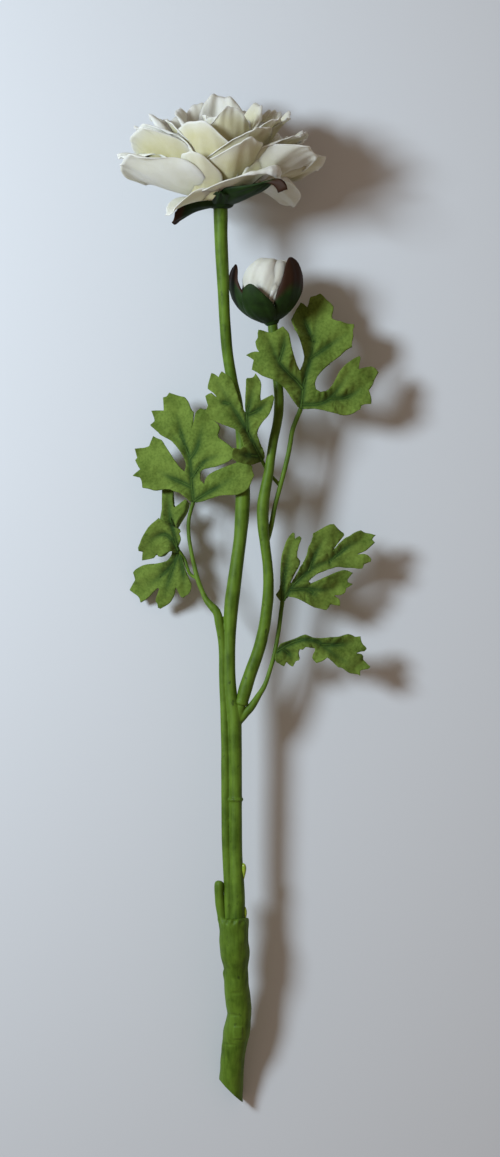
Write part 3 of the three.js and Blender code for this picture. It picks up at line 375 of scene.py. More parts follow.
# %% Moulded stem plastic
STEM_LIGHT = (0.112, 0.198, 0.018)
STEM_DEEP = (0.042, 0.084, 0.004)
STEM_DIRT = (0.018, 0.028, 0.006)
DIRT_COVER = (0.8, 0.8, 0.8)
STEM_GLOW = (0.6, 1.0, 0.25)
STEM_GLOW_DEPTH = 1.2
STREAKS = dict(scale=520, stretch=(1, 0.12, 1))
SCRATCHES = dict(scale=260, stretch=(1, 0.12, 1))
DIRT_SPECKS = dict(scale=480, detail=5, stretch=(1, 0.5, 1))

stem_plastic, tree, shader = new_finish(
    "moulded_green_plastic", roughness=0.52, specular=0.16, subsurface=0.03
)
shader.inputs["Subsurface Radius"].default_value = STEM_GLOW
shader.inputs["Subsurface Scale"].default_value = STEM_GLOW_DEPTH * MM
streaky = ramp(tree, grain(tree, **STREAKS), (0.32, STEM_DEEP), (0.66, STEM_LIGHT))
cloudy = ramp(tree, grain(tree, 130, detail=5), (0.36, STEM_DEEP), (0.6, STEM_LIGHT))
dirt = ramp(tree, grain(tree, **DIRT_SPECKS), (0.25, DIRT_COVER), (0.36, BLACK))
skin = mixed(tree, dirt, mixed(tree, 0.5, streaky, cloudy), STEM_DIRT)
tree.links.new(skin, shader.inputs["Base Color"])
relief(tree, shader, (grain(tree, **SCRATCHES), 0.3, 0.3), (grain(tree, 1500), 0.18, 0.05))
print("stem finish has", len(tree.nodes), "nodes")

# %% [markdown]
# The ribs of the leaves are the same plastic, moulded thinner and dyed darker. They
# are too thin for streaks to show, so one soft noise is enough.

# %% Rib plastic
RIB_LIGHT = (0.06, 0.115, 0.016)
RIB_DEEP = (0.03, 0.065, 0.008)

rib_plastic, tree, shader = new_finish("dark_rib_plastic", roughness=0.75, specular=0.15)
rib_green = ramp(tree, grain(tree, 500), (0.3, RIB_DEEP), (0.7, RIB_LIGHT))
tree.links.new(rib_green, shader.inputs["Base Color"])
relief(tree, shader, (grain(tree, 900), 0.2, 0.08))
print("rib finish has", len(tree.nodes), "nodes")

# %% [markdown]
# The leaves are cloth, printed green and pressed in a hot mould. A fine weave breaks up
# the light, and soft clouds of paler green lie in the print. Along each rib the colour is
# darkened as painted shade, where the pressed valley lies in shadow. Side veins slant
# away from each rib; they are a sine of how far along the rib a point lies and how far
# off it, which mark() stores on the leaf.

# %% Pressed leaf cloth
LEAF_LIGHT = (0.148, 0.218, 0.034)
LEAF_DEEP = (0.058, 0.100, 0.009)
PAINTED_RIB_VALLEY_SHADE = (0.022, 0.055, 0.008)
VEIN_COVER = (0.6, 0.6, 0.6)
SIDE_VEIN_SPACING = 2.1
SIDE_VEIN_SLANT = 0.8
WEAVE = dict(scale=2200, detail=2)

leaf_cloth, tree, shader = new_finish(
    "pressed_leaf_cloth", roughness=0.84, specular=0.18, sheen=0.03
)
clouds = ramp(tree, grain(tree, 110, detail=4), (0.34, LEAF_DEEP), (0.64, LEAF_LIGHT))
fibres = ramp(tree, grain(tree, 900, detail=5), (0.35, LEAF_DEEP), (0.6, LEAF_LIGHT))
slanted = worked(tree, "MULTIPLY_ADD", marked(tree, "gap"), -SIDE_VEIN_SLANT, marked(tree, "reach"))
waves = worked(tree, "SINE", worked(tree, "MULTIPLY", slanted, 2 * math.pi / SIDE_VEIN_SPACING))
veins = worked(tree, "MULTIPLY", waves, marked(tree, "veined"))
printed = mixed(tree, 0.4, clouds, fibres)
printed = mixed(tree, ramp(tree, veins, (0.45, BLACK), (1.0, VEIN_COVER)), printed, LEAF_DEEP)
# painted shade: the cloth is darkened along the ribs, where the pressed valleys lie in shadow
printed = mixed(tree, marked(tree, "rib"), printed, PAINTED_RIB_VALLEY_SHADE)
tree.links.new(printed, shader.inputs["Base Color"])
weave, cloth_lumps = grain(tree, **WEAVE), grain(tree, 300)
relief(tree, shader, (weave, 0.3, 0.06), (cloth_lumps, 0.3, 0.2), (veins, -0.3, 0.15))
print("leaf finish has", len(tree.nodes), "nodes")

# %% [markdown]
# Sepals are the same cloth printed nearly black-green, and the ends of some are brown.
# How far along the sepal a point lies says where the brown starts, and the sepal's tint
# says whether it has any.

# %% Dark sepal cloth
SEPAL_LIGHT = (0.015, 0.040, 0.005)
SEPAL_DEEP = (0.006, 0.017, 0.002)
SEPAL_BROWN = (0.030, 0.012, 0.005)

sepal_cloth, tree, shader = new_finish("dark_sepal_cloth", roughness=0.62, specular=0.16)
body = ramp(tree, grain(tree, 160, detail=4), (0.35, SEPAL_DEEP), (0.68, SEPAL_LIGHT))
tips = ramp(tree, marked(tree, "reach"), (0.76, BLACK), (0.84, WHITE))
browned = worked(tree, "MULTIPLY", tips, marked(tree, "tint"))
tree.links.new(mixed(tree, browned, body, SEPAL_BROWN), shader.inputs["Base Color"])
relief(tree, shader, (grain(tree, 1300, detail=2), 0.25, 0.06), (grain(tree, 240), 0.25, 0.15))
print("sepal finish has", len(tree.nodes), "nodes")

# %% [markdown]
# Petal cloth is thin enough for light to come through. It is dyed from a yellow-green
# root through cream to cool white, with fine threads along the petal. The rim is made
# whiter still as a painted highlight, where it catches the light, and the tint mixes in
# cream, which is random dye on most petals and painted shade on a few. The bud is dyed
# only at its roots, so the same finish is made twice with other ends to the dye.

# %% White petal cloth
# the petals' white, also mixed in as a painted highlight along the rim
PETAL_WHITE_AND_RIM_HIGHLIGHT = (0.63, 0.63, 0.56)
PETAL_CREAM = (0.47, 0.43, 0.225)
PETAL_ROOT = (0.44, 0.40, 0.13)
PETAL_GLOW = (1.0, 1.0, 0.8)
PETAL_GLOW_DEPTH = 2.2
PETAL_THREADS = 150.0
CLOUDED = 0.12


def petal_finish(name, root_end, cream_end):
    """White cloth whose dye fades from the root outward, with a painted highlight at the rim."""
    material, tree, shader = new_finish(
        name, roughness=0.75, specular=0.2, sheen=0.08, subsurface=0.45
    )
    shader.inputs["Subsurface Radius"].default_value = PETAL_GLOW
    shader.inputs["Subsurface Scale"].default_value = PETAL_GLOW_DEPTH * MM
    reach = marked(tree, "reach")
    dye = ramp(tree, reach, (0.0, PETAL_ROOT), (root_end, PETAL_CREAM), (cream_end, PETAL_WHITE_AND_RIM_HIGHLIGHT))
    # cream by the tint: random dye on most petals, painted shade on the petals at the shaded right and
    # back
    dye = mixed(tree, marked(tree, "tint"), dye, PETAL_CREAM)
    # painted highlight: the rim is mixed toward white, where it catches the light
    dye = mixed(tree, marked(tree, "rim"), dye, PETAL_WHITE_AND_RIM_HIGHLIGHT)
    clouds = ramp(tree, grain(tree, 130, detail=4), (0.3, PETAL_CREAM), (0.7, WHITE))
    tree.links.new(mixed(tree, CLOUDED, dye, clouds), shader.inputs["Base Color"])
    thread = worked(tree, "SINE", worked(tree, "MULTIPLY", marked(tree, "across"), PETAL_THREADS))
    relief(tree, shader, (thread, 0.12, 0.04), (grain(tree, 1800, detail=2), 0.2, 0.04))
    print(name, "has", len(tree.nodes), "nodes")
    return material


petal_cloth = petal_finish("white_petal_cloth", root_end=0.4, cream_end=0.8)
bud_cloth = petal_finish("bud_petal_cloth", root_end=0.1, cream_end=0.4)

# %% [markdown]
# The table's paint is one flat colour, set on the shader itself. Glue left over from the
# hot gun is a clear yellow-green gum: smooth, shiny and lit from within.

# %% Table paint and glue
TABLE_COLOUR = (0.60, 0.62, 0.64)
GLUE_DEEP = (0.20, 0.30, 0.02)
GLUE_LIGHT = (0.34, 0.44, 0.05)
GLUE_GLOW_DEPTH = 1.0

table_paint, tree, shader = new_finish("pale_table", roughness=0.9, specular=0.2)
shader.inputs["Base Color"].default_value = (*TABLE_COLOUR, 1)
table.data.materials.append(table_paint)

glue_gum, tree, shader = new_finish("clear_glue", roughness=0.15, subsurface=0.3)
shader.inputs["Subsurface Scale"].default_value = GLUE_GLOW_DEPTH * MM
gum = ramp(tree, grain(tree, 600), (0.3, GLUE_DEEP), (0.7, GLUE_LIGHT))
tree.links.new(gum, shader.inputs["Base Color"])
print("glue finish has", len(tree.nodes), "nodes")

# %% [markdown]
# ## Stems
# Each stem is a row of stations along its middle: u, v, height and radius. A curve with a
# round section runs through them, which is how a smooth moulded rod is easiest to draw.
# The curve is then made a mesh, and its capped ends are welded so that it is closed.

# %% A rod through its stations
ROD_STEPS = 8
WELD = 0.01


def swept(stations, section, steps):
    """A round tapering curve through (place in metres, radius in millimetres) stations."""
    only(table)
    bpy.ops.curve.primitive_bezier_curve_add(location=(0, 0, 0))
    obj = bpy.context.object
    curve = obj.data
    curve.dimensions = "3D"
    curve.bevel_depth = MM
    curve.bevel_resolution = section
    curve.resolution_u = steps
    curve.use_fill_caps = True
    knots = curve.splines[0].bezier_points
    knots.add(len(stations) - len(knots))
    for knot, (spot, radius) in zip(knots, stations):
        knot.co = spot
        knot.radius = radius
        knot.handle_left_type = "AUTO"
        knot.handle_right_type = "AUTO"
    only(obj)
    return obj


def rod(rows, section=8):
    """A stem through its u, v, height and radius stations, as a closed mesh."""
    obj = swept([(place(u, v, z) * MM, radius) for u, v, z, radius in rows], section, ROD_STEPS)
    obj.data.splines[0].radius_interpolation = "CARDINAL"
    bpy.ops.object.convert(target="MESH")
    with editing(obj):
        bpy.ops.mesh.remove_doubles(threshold=WELD * MM)
        bpy.ops.mesh.normals_make_consistent(inside=False)
    return obj


# %% [markdown]
# The rods of one piece are grown together in one skin by a voxel remesh and smoothed, so
# the groove between two strands stays but no seam shows. Moulded plastic is never quite
# true either, so the skin is pushed in and out a little by noise.


# %% One skin round several rods
def grown_together(name, rods, voxel, rounds):
    """Several rods in one skin, smoothed some rounds."""
    stem = joined(name, rods)
    applied(stem, "REMESH", mode="VOXEL", voxel_size=voxel * MM)
    return applied(stem, "SMOOTH", factor=0.5, iterations=rounds)


def normals_of(obj):
    """The direction that each vertex faces."""
    normals = np.empty(len(obj.data.vertices) * 3)
    obj.data.vertices.foreach_get("normal", normals)
    return normals.reshape(-1, 3)


def noise_at(points, size, seed):
    """Smooth noise of this lump size at each point."""
    shift = Vector((seed, 0, 0))
    return np.array([noise.noise(Vector(p) / size + shift) for p in points])


def lumpy(obj, height, size, seed):
    """Pushes the skin in and out by noise of this height and lump size."""
    points = points_of(obj)
    push = noise_at(points, size, seed)
    set_points(obj, points + normals_of(obj) * (height * push)[:, None])


# %% [markdown]
# The main stem is two strands moulded side by side: the thick one carries the flower,
# the thin one ends where the left leaf stalk plugs in. Two short pegs take the bud's
# stem and the right leaf stalk, and a low ring shows where two parts of the mould met.
# Each strand could be a piece of its own, but then they would cut into one another; in
# one skin they touch as they do on the real stem.

# %% Main stem
FLOWER_STRAND = [
    (220.4, 204.5, 38.4, 3.2), (220.6, 212, 38.1, 3.2), (221, 235, 37.8, 3), (222.3, 265, 36.4, 2.9),
    (223.6, 295, 35, 2.6), (225.2, 325, 33, 2.5), (227.8, 355, 31, 2.5), (232, 380, 29.5, 2.5),
    (237.5, 405, 28, 2.5), (241, 435, 27, 2.4), (242.5, 465, 27, 2.9), (242.8, 490, 27, 3.3),
    (242.2, 512, 27, 3.3), (240.5, 535, 27, 3), (237.3, 560, 27, 3), (234, 585, 27, 3.2),
    (231, 610, 26.8, 3.2), (229.8, 640, 26.5, 2.7), (229.5, 670, 26.2, 2.7), (231, 695, 26, 2.9),
    (234, 715, 26, 3.2), (235, 740, 25.8, 3.1), (235.4, 770, 25.5, 3), (235.5, 797.2, 25.2, 3),
    (235.5, 798.6, 25.2, 3.5), (235.5, 800.2, 25.2, 3.5), (235.5, 801.6, 25.2, 3), (235.5, 830, 25, 3),
    (235.8, 860, 24.6, 3.1), (236.8, 885, 24.2, 3.5), (237.2, 910, 23.8, 3.6), (237.2, 934, 23.2, 3.6),
]
LEAF_STRAND = [
    (214.5, 609.5, 27.3, 1.8), (216.8, 612.5, 27.4, 1.9), (219.2, 623, 27.2, 2), (222, 642, 26.8, 1.8),
    (223, 680, 26.2, 1.8), (224.4, 712, 26, 1.9), (225.4, 745, 25.8, 2), (225.6, 800, 25.2, 2),
    (226.6, 850, 24.8, 2.1), (228.6, 882, 24.2, 2.3), (229.2, 908, 23.8, 2.4), (229.4, 934, 23.2, 2.4),
]
BUD_PEG = [(235, 732, 25.8, 2.4), (238, 716, 26, 2.4), (240.6, 705, 26, 2.5)]
RIGHT_PEG = [(236, 724, 25.8, 1.9), (243, 716, 26, 2), (246.6, 711.9, 26, 1.9)]
STEM_VOXEL = 0.32

main_rods = [rod(rows) for rows in (FLOWER_STRAND, LEAF_STRAND, BUD_PEG, RIGHT_PEG)]
main_stem = grown_together("main_stem_skin", main_rods, STEM_VOXEL, rounds=2)
lumpy(main_stem, height=0.1, size=9.0, seed=3)
finished(main_stem, stem_plastic, "stem", "main_stem")

# %% [markdown]
# The bud's stem plugs on its peg with a short collar, leans right and swings back under
# the bud. It is one rod, and thinner than the main stem, so its voxels are smaller.

# %% Bud stem
BUD_STEM = [
    (240.6, 705.2, 26, 2.5), (240.9, 704, 26, 3.1), (241.8, 701.2, 26, 3.2), (242.4, 699.6, 26.1, 2.9),
    (245, 690, 26.3, 3), (250.5, 673, 26.8, 2.9), (257, 655, 27.3, 2.8), (262.8, 634, 28, 2.7),
    (266.4, 612, 28.7, 2.6), (268.4, 590, 29.3, 2.5), (267.8, 567, 29.8, 2.3), (265.2, 545, 30, 2.3),
    (263.2, 525, 30, 2.6), (263, 507, 30, 2.7), (265.3, 490, 29.7, 2.5), (268.4, 474, 29.4, 2.3),
    (270.8, 458, 29.2, 2.1), (273.6, 440, 29, 2.1), (277, 424, 28.7, 2.1), (279, 406, 28.4, 2.2),
    (278.2, 386, 28, 2.2), (276, 363, 28, 2.2), (274.2, 343, 28.1, 2.2), (272.2, 321, 28.5, 2.3),
]
STALK_VOXEL = 0.24

bud_stem = grown_together("bud_stem_skin", [rod(BUD_STEM)], STALK_VOXEL, rounds=2)
lumpy(bud_stem, height=0.1, size=7.0, seed=11)
finished(bud_stem, stem_plastic, "stem", "bud_stem")

# %% [markdown]
# Each leaf stalk is a wire-thin moulding with a thicker foot. Two of the three fork. A
# fork could be modelled as one branching mesh, but two rods that share their start and
# are grown together give the same smooth crotch with less work.

# %% Leaf stalks
LEFT_STALK = [
    (217.4, 613, 27.3, 1.9), (215.2, 610, 27.2, 1.9), (212, 606.5, 27, 1.8), (206.5, 600, 26.6, 1.4),
    (202.6, 592, 26, 1.1), (198, 580, 25.2, 1.1), (194.2, 565, 24.5, 1), (191, 550, 23.8, 0.9),
    (188.8, 535, 23, 0.9), (188.8, 520, 22.4, 0.9), (191, 510, 21.6, 0.9), (192.9, 503.4, 21.3, 0.9),
    (193.2, 494, 21.4, 0.8),
]
LEFT_SIDE_STALK = [
    (197, 578.4, 25, 0.8), (190.6, 574.5, 22.4, 0.8), (187.4, 568, 19.6, 0.8), (185, 560.5, 18.4, 0.8),
    (182.4, 555.6, 18.7, 0.8), (178.6, 550.2, 20, 0.8), (176, 545, 20.6, 0.6),
]
RIGHT_STALK = [
    (245, 713.4, 26, 1.9), (246.9, 711.6, 26, 1.9), (251.5, 706.4, 26, 1.8), (258, 696.5, 25.6, 1.4),
    (264.6, 685.5, 25.2, 1.1), (270, 670, 24.8, 1), (274.2, 655, 24.8, 1), (277, 640, 24.4, 1),
    (279.4, 625, 23.8, 1), (281, 612, 23.4, 1), (282.2, 603, 23, 1), (283, 595, 23.6, 0.9),
]
UPPER_STALK = [
    (264, 548, 29.2, 1.4), (269.6, 532, 28.2, 1.2), (275, 506, 27.2, 1.1), (279.2, 490, 26.6, 1.1),
    (283.2, 475, 26.2, 1.1), (287, 460, 26, 1.1), (290, 445, 26, 1.1), (292.6, 430, 26, 1.1),
    (297, 418, 26, 1.1), (300.2, 410, 25.9, 1.1), (302, 402, 26.2, 1),
]
UPPER_SIDE_STALK = [
    (280.8, 486.6, 26.5, 0.9), (275, 480, 25.7, 0.8), (269.4, 473.4, 25.8, 0.8), (265.2, 467, 27.2, 0.8),
    (262.2, 461, 29, 0.8), (260.2, 456, 30.2, 0.7),
]

for stalk_name, stalk_rows in (
    ("left_leaf_stalk", (LEFT_STALK, LEFT_SIDE_STALK)),
    ("right_leaf_stalk", (RIGHT_STALK,)),
    ("upper_leaf_stalk", (UPPER_STALK, UPPER_SIDE_STALK)),
):
    stalk_rods = [rod(rows, section=6) for rows in stalk_rows]
    stalk = grown_together(f"{stalk_name}_skin", stalk_rods, STALK_VOXEL, rounds=2)
    finished(stalk, stem_plastic, "stem", stalk_name)

# %% [markdown]
# The sleeve is a thicker tube drawn over the strands. It is wavy, its upper lip is
# uneven and its lower end was cut off on a slant with shears. It is made as a rod like
# the others, with a nub at its side and a torn flap, and cut off with a plane.

# %% Sleeve
SLEEVE = [
    (234, 917.6, 23.6, 5.2), (234, 918.6, 23.6, 6.1), (234.2, 922, 23.5, 6.6), (234, 930, 23.3, 6.5),
    (234, 942, 22.8, 6.6), (235.4, 955, 21.8, 6.5), (236.2, 969, 20.4, 5.5), (236.6, 985, 18.7, 5.7),
    (238, 1000, 17, 5.9), (239.2, 1013, 15.4, 5.6), (236.8, 1030, 13.2, 6.1), (234.6, 1045, 11.4, 5.7),
    (232.6, 1060, 9.6, 5.6), (231.4, 1075, 8, 5.5), (231, 1090, 6.6, 5.5), (231, 1112, 5.4, 5.4),
]
SIDE_NUB = [
    (219.6, 880.8, 24.6, 0.9), (219.5, 882, 24.6, 1.8), (219.4, 885, 24.5, 2.2), (219.8, 900, 24.2, 2),
    (224, 930, 23.4, 2),
]
TORN_FLAP = [
    (226.4, 968.4, 21, 0.3), (225.2, 970, 20.8, 0.7), (225.8, 979, 19.6, 0.9), (227.4, 988, 18.4, 0.6),
]
CUT_FROM = (217.0, 1073.5)
CUT_TO = (241.5, 1103.5)

sleeve_rods = [rod(SLEEVE, section=10), rod(SIDE_NUB, section=6), rod(TORN_FLAP, section=6)]
sleeve = joined("sleeve_skin", sleeve_rods)
applied(sleeve, "REMESH", mode="VOXEL", voxel_size=STEM_VOXEL * MM)
cut_from, cut_to = place(*CUT_FROM, 0), place(*CUT_TO, 0)
cut_normal = Vector((cut_to[1] - cut_from[1], cut_from[0] - cut_to[0], 0))
with editing(sleeve):
    bpy.ops.mesh.bisect(
        plane_co=cut_from * MM, plane_no=cut_normal, use_fill=True,
        clear_outer=cut_normal.y < 0, clear_inner=cut_normal.y > 0,
    )
print("sleeve cut along", [round(c, 2) for c in cut_normal])

# %% [markdown]
# The dents, the ridge, the raised patch and the ragged lip that show in the photograph
# are pushed into the skin from above. Sculpting by hand would do, but a few round dents
# with a place, a size and a height are easier to read and to move.

# %% Dents, patch and lip of the sleeve
SLEEVE_MARKS = [
    # u, v, half width, half length, height
    (236, 992, 5, 2, -0.25), (233, 1015, 6, 1.6, -0.3), (229, 1046, 7, 1.4, -0.25), (238, 948, 3, 9, 0.3),
]
SLEEVE_PATCH = (238, 1033, 4.2, 6.2, 0.4)
MARK_REACH = 1.4
PATCH_REACH = 1.1
PATCH_BEVEL = 0.15
SLEEVE_LEVEL = 20
LIP_AT = (234, 920, 23)
LIP_WIDTH = 1.2
LIP_HEIGHT = 0.5
LIP_WAVES = (1.9, 1.3)
FACING_EASE = 0.6


def off_mark(points, u, v, half_width, half_length):
    """How far each point is from a mark, across and along, in half sizes of the mark."""
    x, y, _ = place(u, v, SLEEVE_LEVEL)
    across = (points[:, 0] - x) / (half_width * OUTLINE_UNIT)
    return np.array([across, (points[:, 1] - y) / (half_length * OUTLINE_UNIT)])


lumpy(sleeve, height=0.35, size=6.0, seed=5)
points = points_of(sleeve)
push = np.zeros(len(points))
for *spot_and_size, height in SLEEVE_MARKS:
    push += height * np.clip(MARK_REACH - np.hypot(*off_mark(points, *spot_and_size)), 0, 1)
*spot_and_size, height = SLEEVE_PATCH
edge = np.abs(off_mark(points, *spot_and_size)).max(axis=0)
push += height * np.clip((PATCH_REACH - edge) / PATCH_BEVEL, 0, 1)
lip = np.exp(-(((points[:, 1] - place(*LIP_AT)[1]) / LIP_WIDTH) ** 2))
push += LIP_HEIGHT * lip * np.sin(points[:, 0] * LIP_WAVES[0] + points[:, 2] * LIP_WAVES[1])
facing_up = np.clip(normals_of(sleeve)[:, 2] + FACING_EASE, 0, 1)
set_points(sleeve, points + normals_of(sleeve) * (push * facing_up)[:, None])
applied(sleeve, "SMOOTH", factor=0.5, iterations=2)
finished(sleeve, stem_plastic, "stem", "stem_sleeve")

# %% [markdown]
# Two beads of glue ran down beside the strands above the sleeve and set. Drops could be
# modelled as stretched spheres; short tapering rods were chosen, since they are placed
# like the stems and follow the strand. They are smoothed more, in a finer skin.

# %% Beads of glue
GLUE_BEADS = [
    [
        (243.2, 863, 25.5, 0.3), (243.6, 865, 25.5, 0.9), (244, 868, 25.5, 1.1), (243.8, 874, 25.3, 0.8),
        (243.8, 879, 25.2, 0.3),
    ],
    [
        (245.2, 906.5, 24.4, 0.2), (245.2, 909, 24.4, 0.6), (245.4, 913, 24.3, 0.75),
        (245.4, 917.5, 24.2, 0.5),
    ],
]
BEAD_VOXEL = 0.2

beads = [rod(bead, section=5) for bead in GLUE_BEADS]
glue = grown_together("glue_beads", beads, BEAD_VOXEL, rounds=4)
finished(glue, glue_gum, "stem")

# %% [markdown]
# ## Leaves
# A leaf is pressed cloth over a stiff rib. Its outline and its bends are those of the
# model, so a copy of the model's blade is merged and its underside and edge are taken
# off. The skin that is left will be smoothed by subdivision, so the points of the teeth
# are creased first, to stay sharp.

# %% The top skin of a leaf
SKIN_FACING = 0.15
SKIN_WELD = 0.002
TOOTH_TURN = math.radians(38)
TOOTH_CREASE = 0.85


def top_skin(node):
    """A merged copy of the model's blade without its underside and edge."""
    obj = bpy.data.objects.new(f"{node}_cloth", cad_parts[node].data.copy())
    bpy.context.collection.objects.link(obj)
    with editing(obj):
        bpy.ops.mesh.remove_doubles(threshold=SKIN_WELD * MM)
        bpy.ops.mesh.select_mode(type="FACE")
        bpy.ops.mesh.select_all(action="DESELECT")
    for face in obj.data.polygons:
        face.select = face.normal.z < SKIN_FACING
    bpy.ops.object.mode_set(mode="EDIT")
    bpy.ops.mesh.delete(type="FACE")
    bpy.ops.object.mode_set(mode="OBJECT")
    return obj


def rim_of(mesh):
    """The vertices of the open rim, each with those next to it along the rim."""
    uses = {}
    for face in mesh.polygons:
        for key in face.edge_keys:
            uses[key] = uses.get(key, 0) + 1
    rim = {}
    for (a, b), count in uses.items():
        if count == 1:
            rim.setdefault(a, []).append(b)
            rim.setdefault(b, []).append(a)
    return rim


def crease_teeth(obj):
    """Keeps sharp each point of the rim where the outline turns hard."""
    mesh = obj.data
    creases = np.zeros(len(mesh.vertices))
    for i, ends in rim_of(mesh).items():
        if len(ends) != 2:
            continue
        here = mesh.vertices[i].co.xy
        before, after = (mesh.vertices[end].co.xy - here for end in ends)
        if min(before.length, after.length) > 0 and before.angle(-after) > TOOTH_TURN:
            creases[i] = TOOTH_CREASE
    layer = mesh.attributes.new("crease_vert", "FLOAT", "POINT")
    layer.data.foreach_set("value", creases)
    print(obj.name, int((creases > 0).sum()), "teeth creased")


# %% [markdown]
# The ribs fork from the leaf's foot to near the tips of its lobes. Each one is a short
# row of points, u and v, traced from the photograph.

# %% Where the ribs run
LEAF_RIBS = {
    "left_end_leaf": [
        [(193.5, 503), (191.4, 485), (190, 466), (187.6, 452), (178, 440), (163, 428)],
        [(190.8, 486), (179, 480.5), (169, 476), (158, 470)],
        [(193.3, 501), (206, 493), (216, 487.5), (234, 477)],
        [(189.6, 458), (197, 446), (202, 424)],
        [(188.4, 455), (181, 434), (176, 412)],
        [(191, 478), (205, 460), (222, 455)],
    ],
    "left_side_leaf": [
        [(178, 551), (172, 564), (158, 577), (145, 587)],
        [(176, 556), (169, 576), (163, 597)],
        [(178.5, 552), (182, 570), (184, 588)],
        [(177.6, 550), (172, 540), (164, 534), (154, 537), (147, 545)],
        [(176.6, 546), (172.5, 530), (168.4, 510), (168, 490)],
    ],
    "right_end_leaf": [
        [(282.6, 604), (292, 587), (305, 574), (318, 565), (335, 560), (350, 556)],
        [(282.8, 600), (284, 580), (288, 556), (292, 542)],
        [(290, 590), (306, 589), (324, 590), (338, 588)],
        [(309, 571), (315, 555), (324, 538)],
        [(330, 561.5), (346, 548), (362, 539)],
        [(306, 589), (320, 597)],
    ],
    "right_side_leaf": [
        [(277, 652), (289, 644.5), (304, 640), (318, 642), (328, 650), (342, 660), (356, 667)],
        [(322, 645), (338, 645), (354, 643)],
        [(282, 648.4), (290, 655), (292, 661)],
    ],
    "upper_end_leaf": [
        [(301.4, 409), (303, 392), (306, 374), (311, 356), (314, 336), (317.4, 312)],
        [(303, 388), (296, 380), (288, 373), (280, 364), (272, 348), (269, 338)],
        [(302.4, 404), (318, 403.5), (330, 398), (340, 386), (350, 372)],
        [(310, 358), (330, 344), (345, 334)],
        [(313.6, 340), (306, 322), (301, 309)],
        [(279, 362), (284, 344), (283.4, 333)],
        [(330, 398), (348, 396), (364, 386)],
    ],
    "upper_side_leaf": [
        [(261.6, 460), (256, 449), (248, 434), (240, 420), (231, 406), (222, 391), (215, 382)],
        [(247.6, 433), (247, 416), (250.5, 400), (253.6, 386)],
        [(257, 456.6), (246, 455.6), (238, 454)],
        [(248.6, 416), (259, 410.6), (268, 402)],
        [(230, 405), (219, 403)],
    ],
}

print("ribs on each leaf:", {leaf: len(rows) for leaf, rows in LEAF_RIBS.items()})

# %% [markdown]
# A smooth line is run through each row. Then the nearest rib is looked up for every
# point of the cloth, since all that is pressed into a leaf follows the ribs: how far off
# the rib is, how far along it, and how strong it still is there.

# %% Distance to the ribs
RIB_STEPS = 8
RIB_END = 1.05
RIB_FADE = 1.8


def between(p, q, r, s, t):
    """A smooth way from q to r, for t from 0 to 1, that leaves p and heads for s."""
    straight = 2 * q + (r - p) * t
    bent = (2 * p - 5 * q + 4 * r - s) * t * t
    turned = (3 * q - p - 3 * r + s) * t ** 3
    return 0.5 * (straight + bent + turned)


def flat_line(row):
    """A rib's run seen from above, in millimetres."""
    knots = [row[0], *row, row[-1]]
    run = [
        [between(*four, step / RIB_STEPS) for four in zip(*spots)]
        for spots in zip(knots, knots[1:], knots[2:], knots[3:])
        for step in range(RIB_STEPS)
    ]
    return np.array([place(u, v, TRUE_SIZE_LEVEL)[:2] for u, v in [*run, row[-1]]])


def rib_map(points, rows):
    """For each point: how far the nearest rib is, how far along, and how strong there."""
    gap = np.full(len(points), np.inf)
    reach = np.zeros(len(points))
    fade = np.zeros(len(points))
    for line in map(flat_line, rows):
        travel = np.concatenate([[0], np.cumsum(np.linalg.norm(np.diff(line, axis=0), axis=1))])
        gaps = np.linalg.norm(points[:, None, :2] - line[None], axis=2)
        nearest = travel[gaps.argmin(axis=1)]
        closer = gaps.min(axis=1) < gap
        gap[closer] = gaps.min(axis=1)[closer]
        reach[closer] = nearest[closer]
        fade[closer] = np.clip((RIB_END - nearest[closer] / travel[-1]) * RIB_FADE, 0, 1)
    return gap, reach, fade


# %% [markdown]
# The mould presses the cloth down along its ribs. Between them the cloth stands up like
# a pillow, with small pleats where the side veins run, and the whole leaf is softly
# waved. Bumps in the material would give the same light and shade from above, but from
# the side the leaf would be flat, so the points themselves are moved. The long side leaf
# at the top also lifts away from its stalk.

# %% Shaping one leaf
LEAF_LEVELS = 3
WAVE_HEIGHT = 0.7
WAVE_SIZE = 7.0
SMALL_WAVE_SIZE = 2.4
SMALL_WAVE_SHARE = 0.4
PRESS_DEPTH = 1.1
PRESS_WIDTH = 1.9
PILLOW_HEIGHT = 0.5
PILLOW_WIDTH = 9.0
PLEAT_DEPTH = 0.3
PLEAT_SPACING = 4.2
PLEAT_START = 3
VEINED_WIDTH = 8
LEAF_LIFT = {"upper_side_leaf": 5.5}
LIFT_REACH = 16.0
# strength and width of each band of painted shade along the ribs
PAINTED_RIB_SHADE_BANDS = ((0.9, 1.1), (0.25, 3))


def bell(gap, width):
    """One at a rib, fading to nought about two widths away."""
    return np.exp(-((gap / width) ** 2))


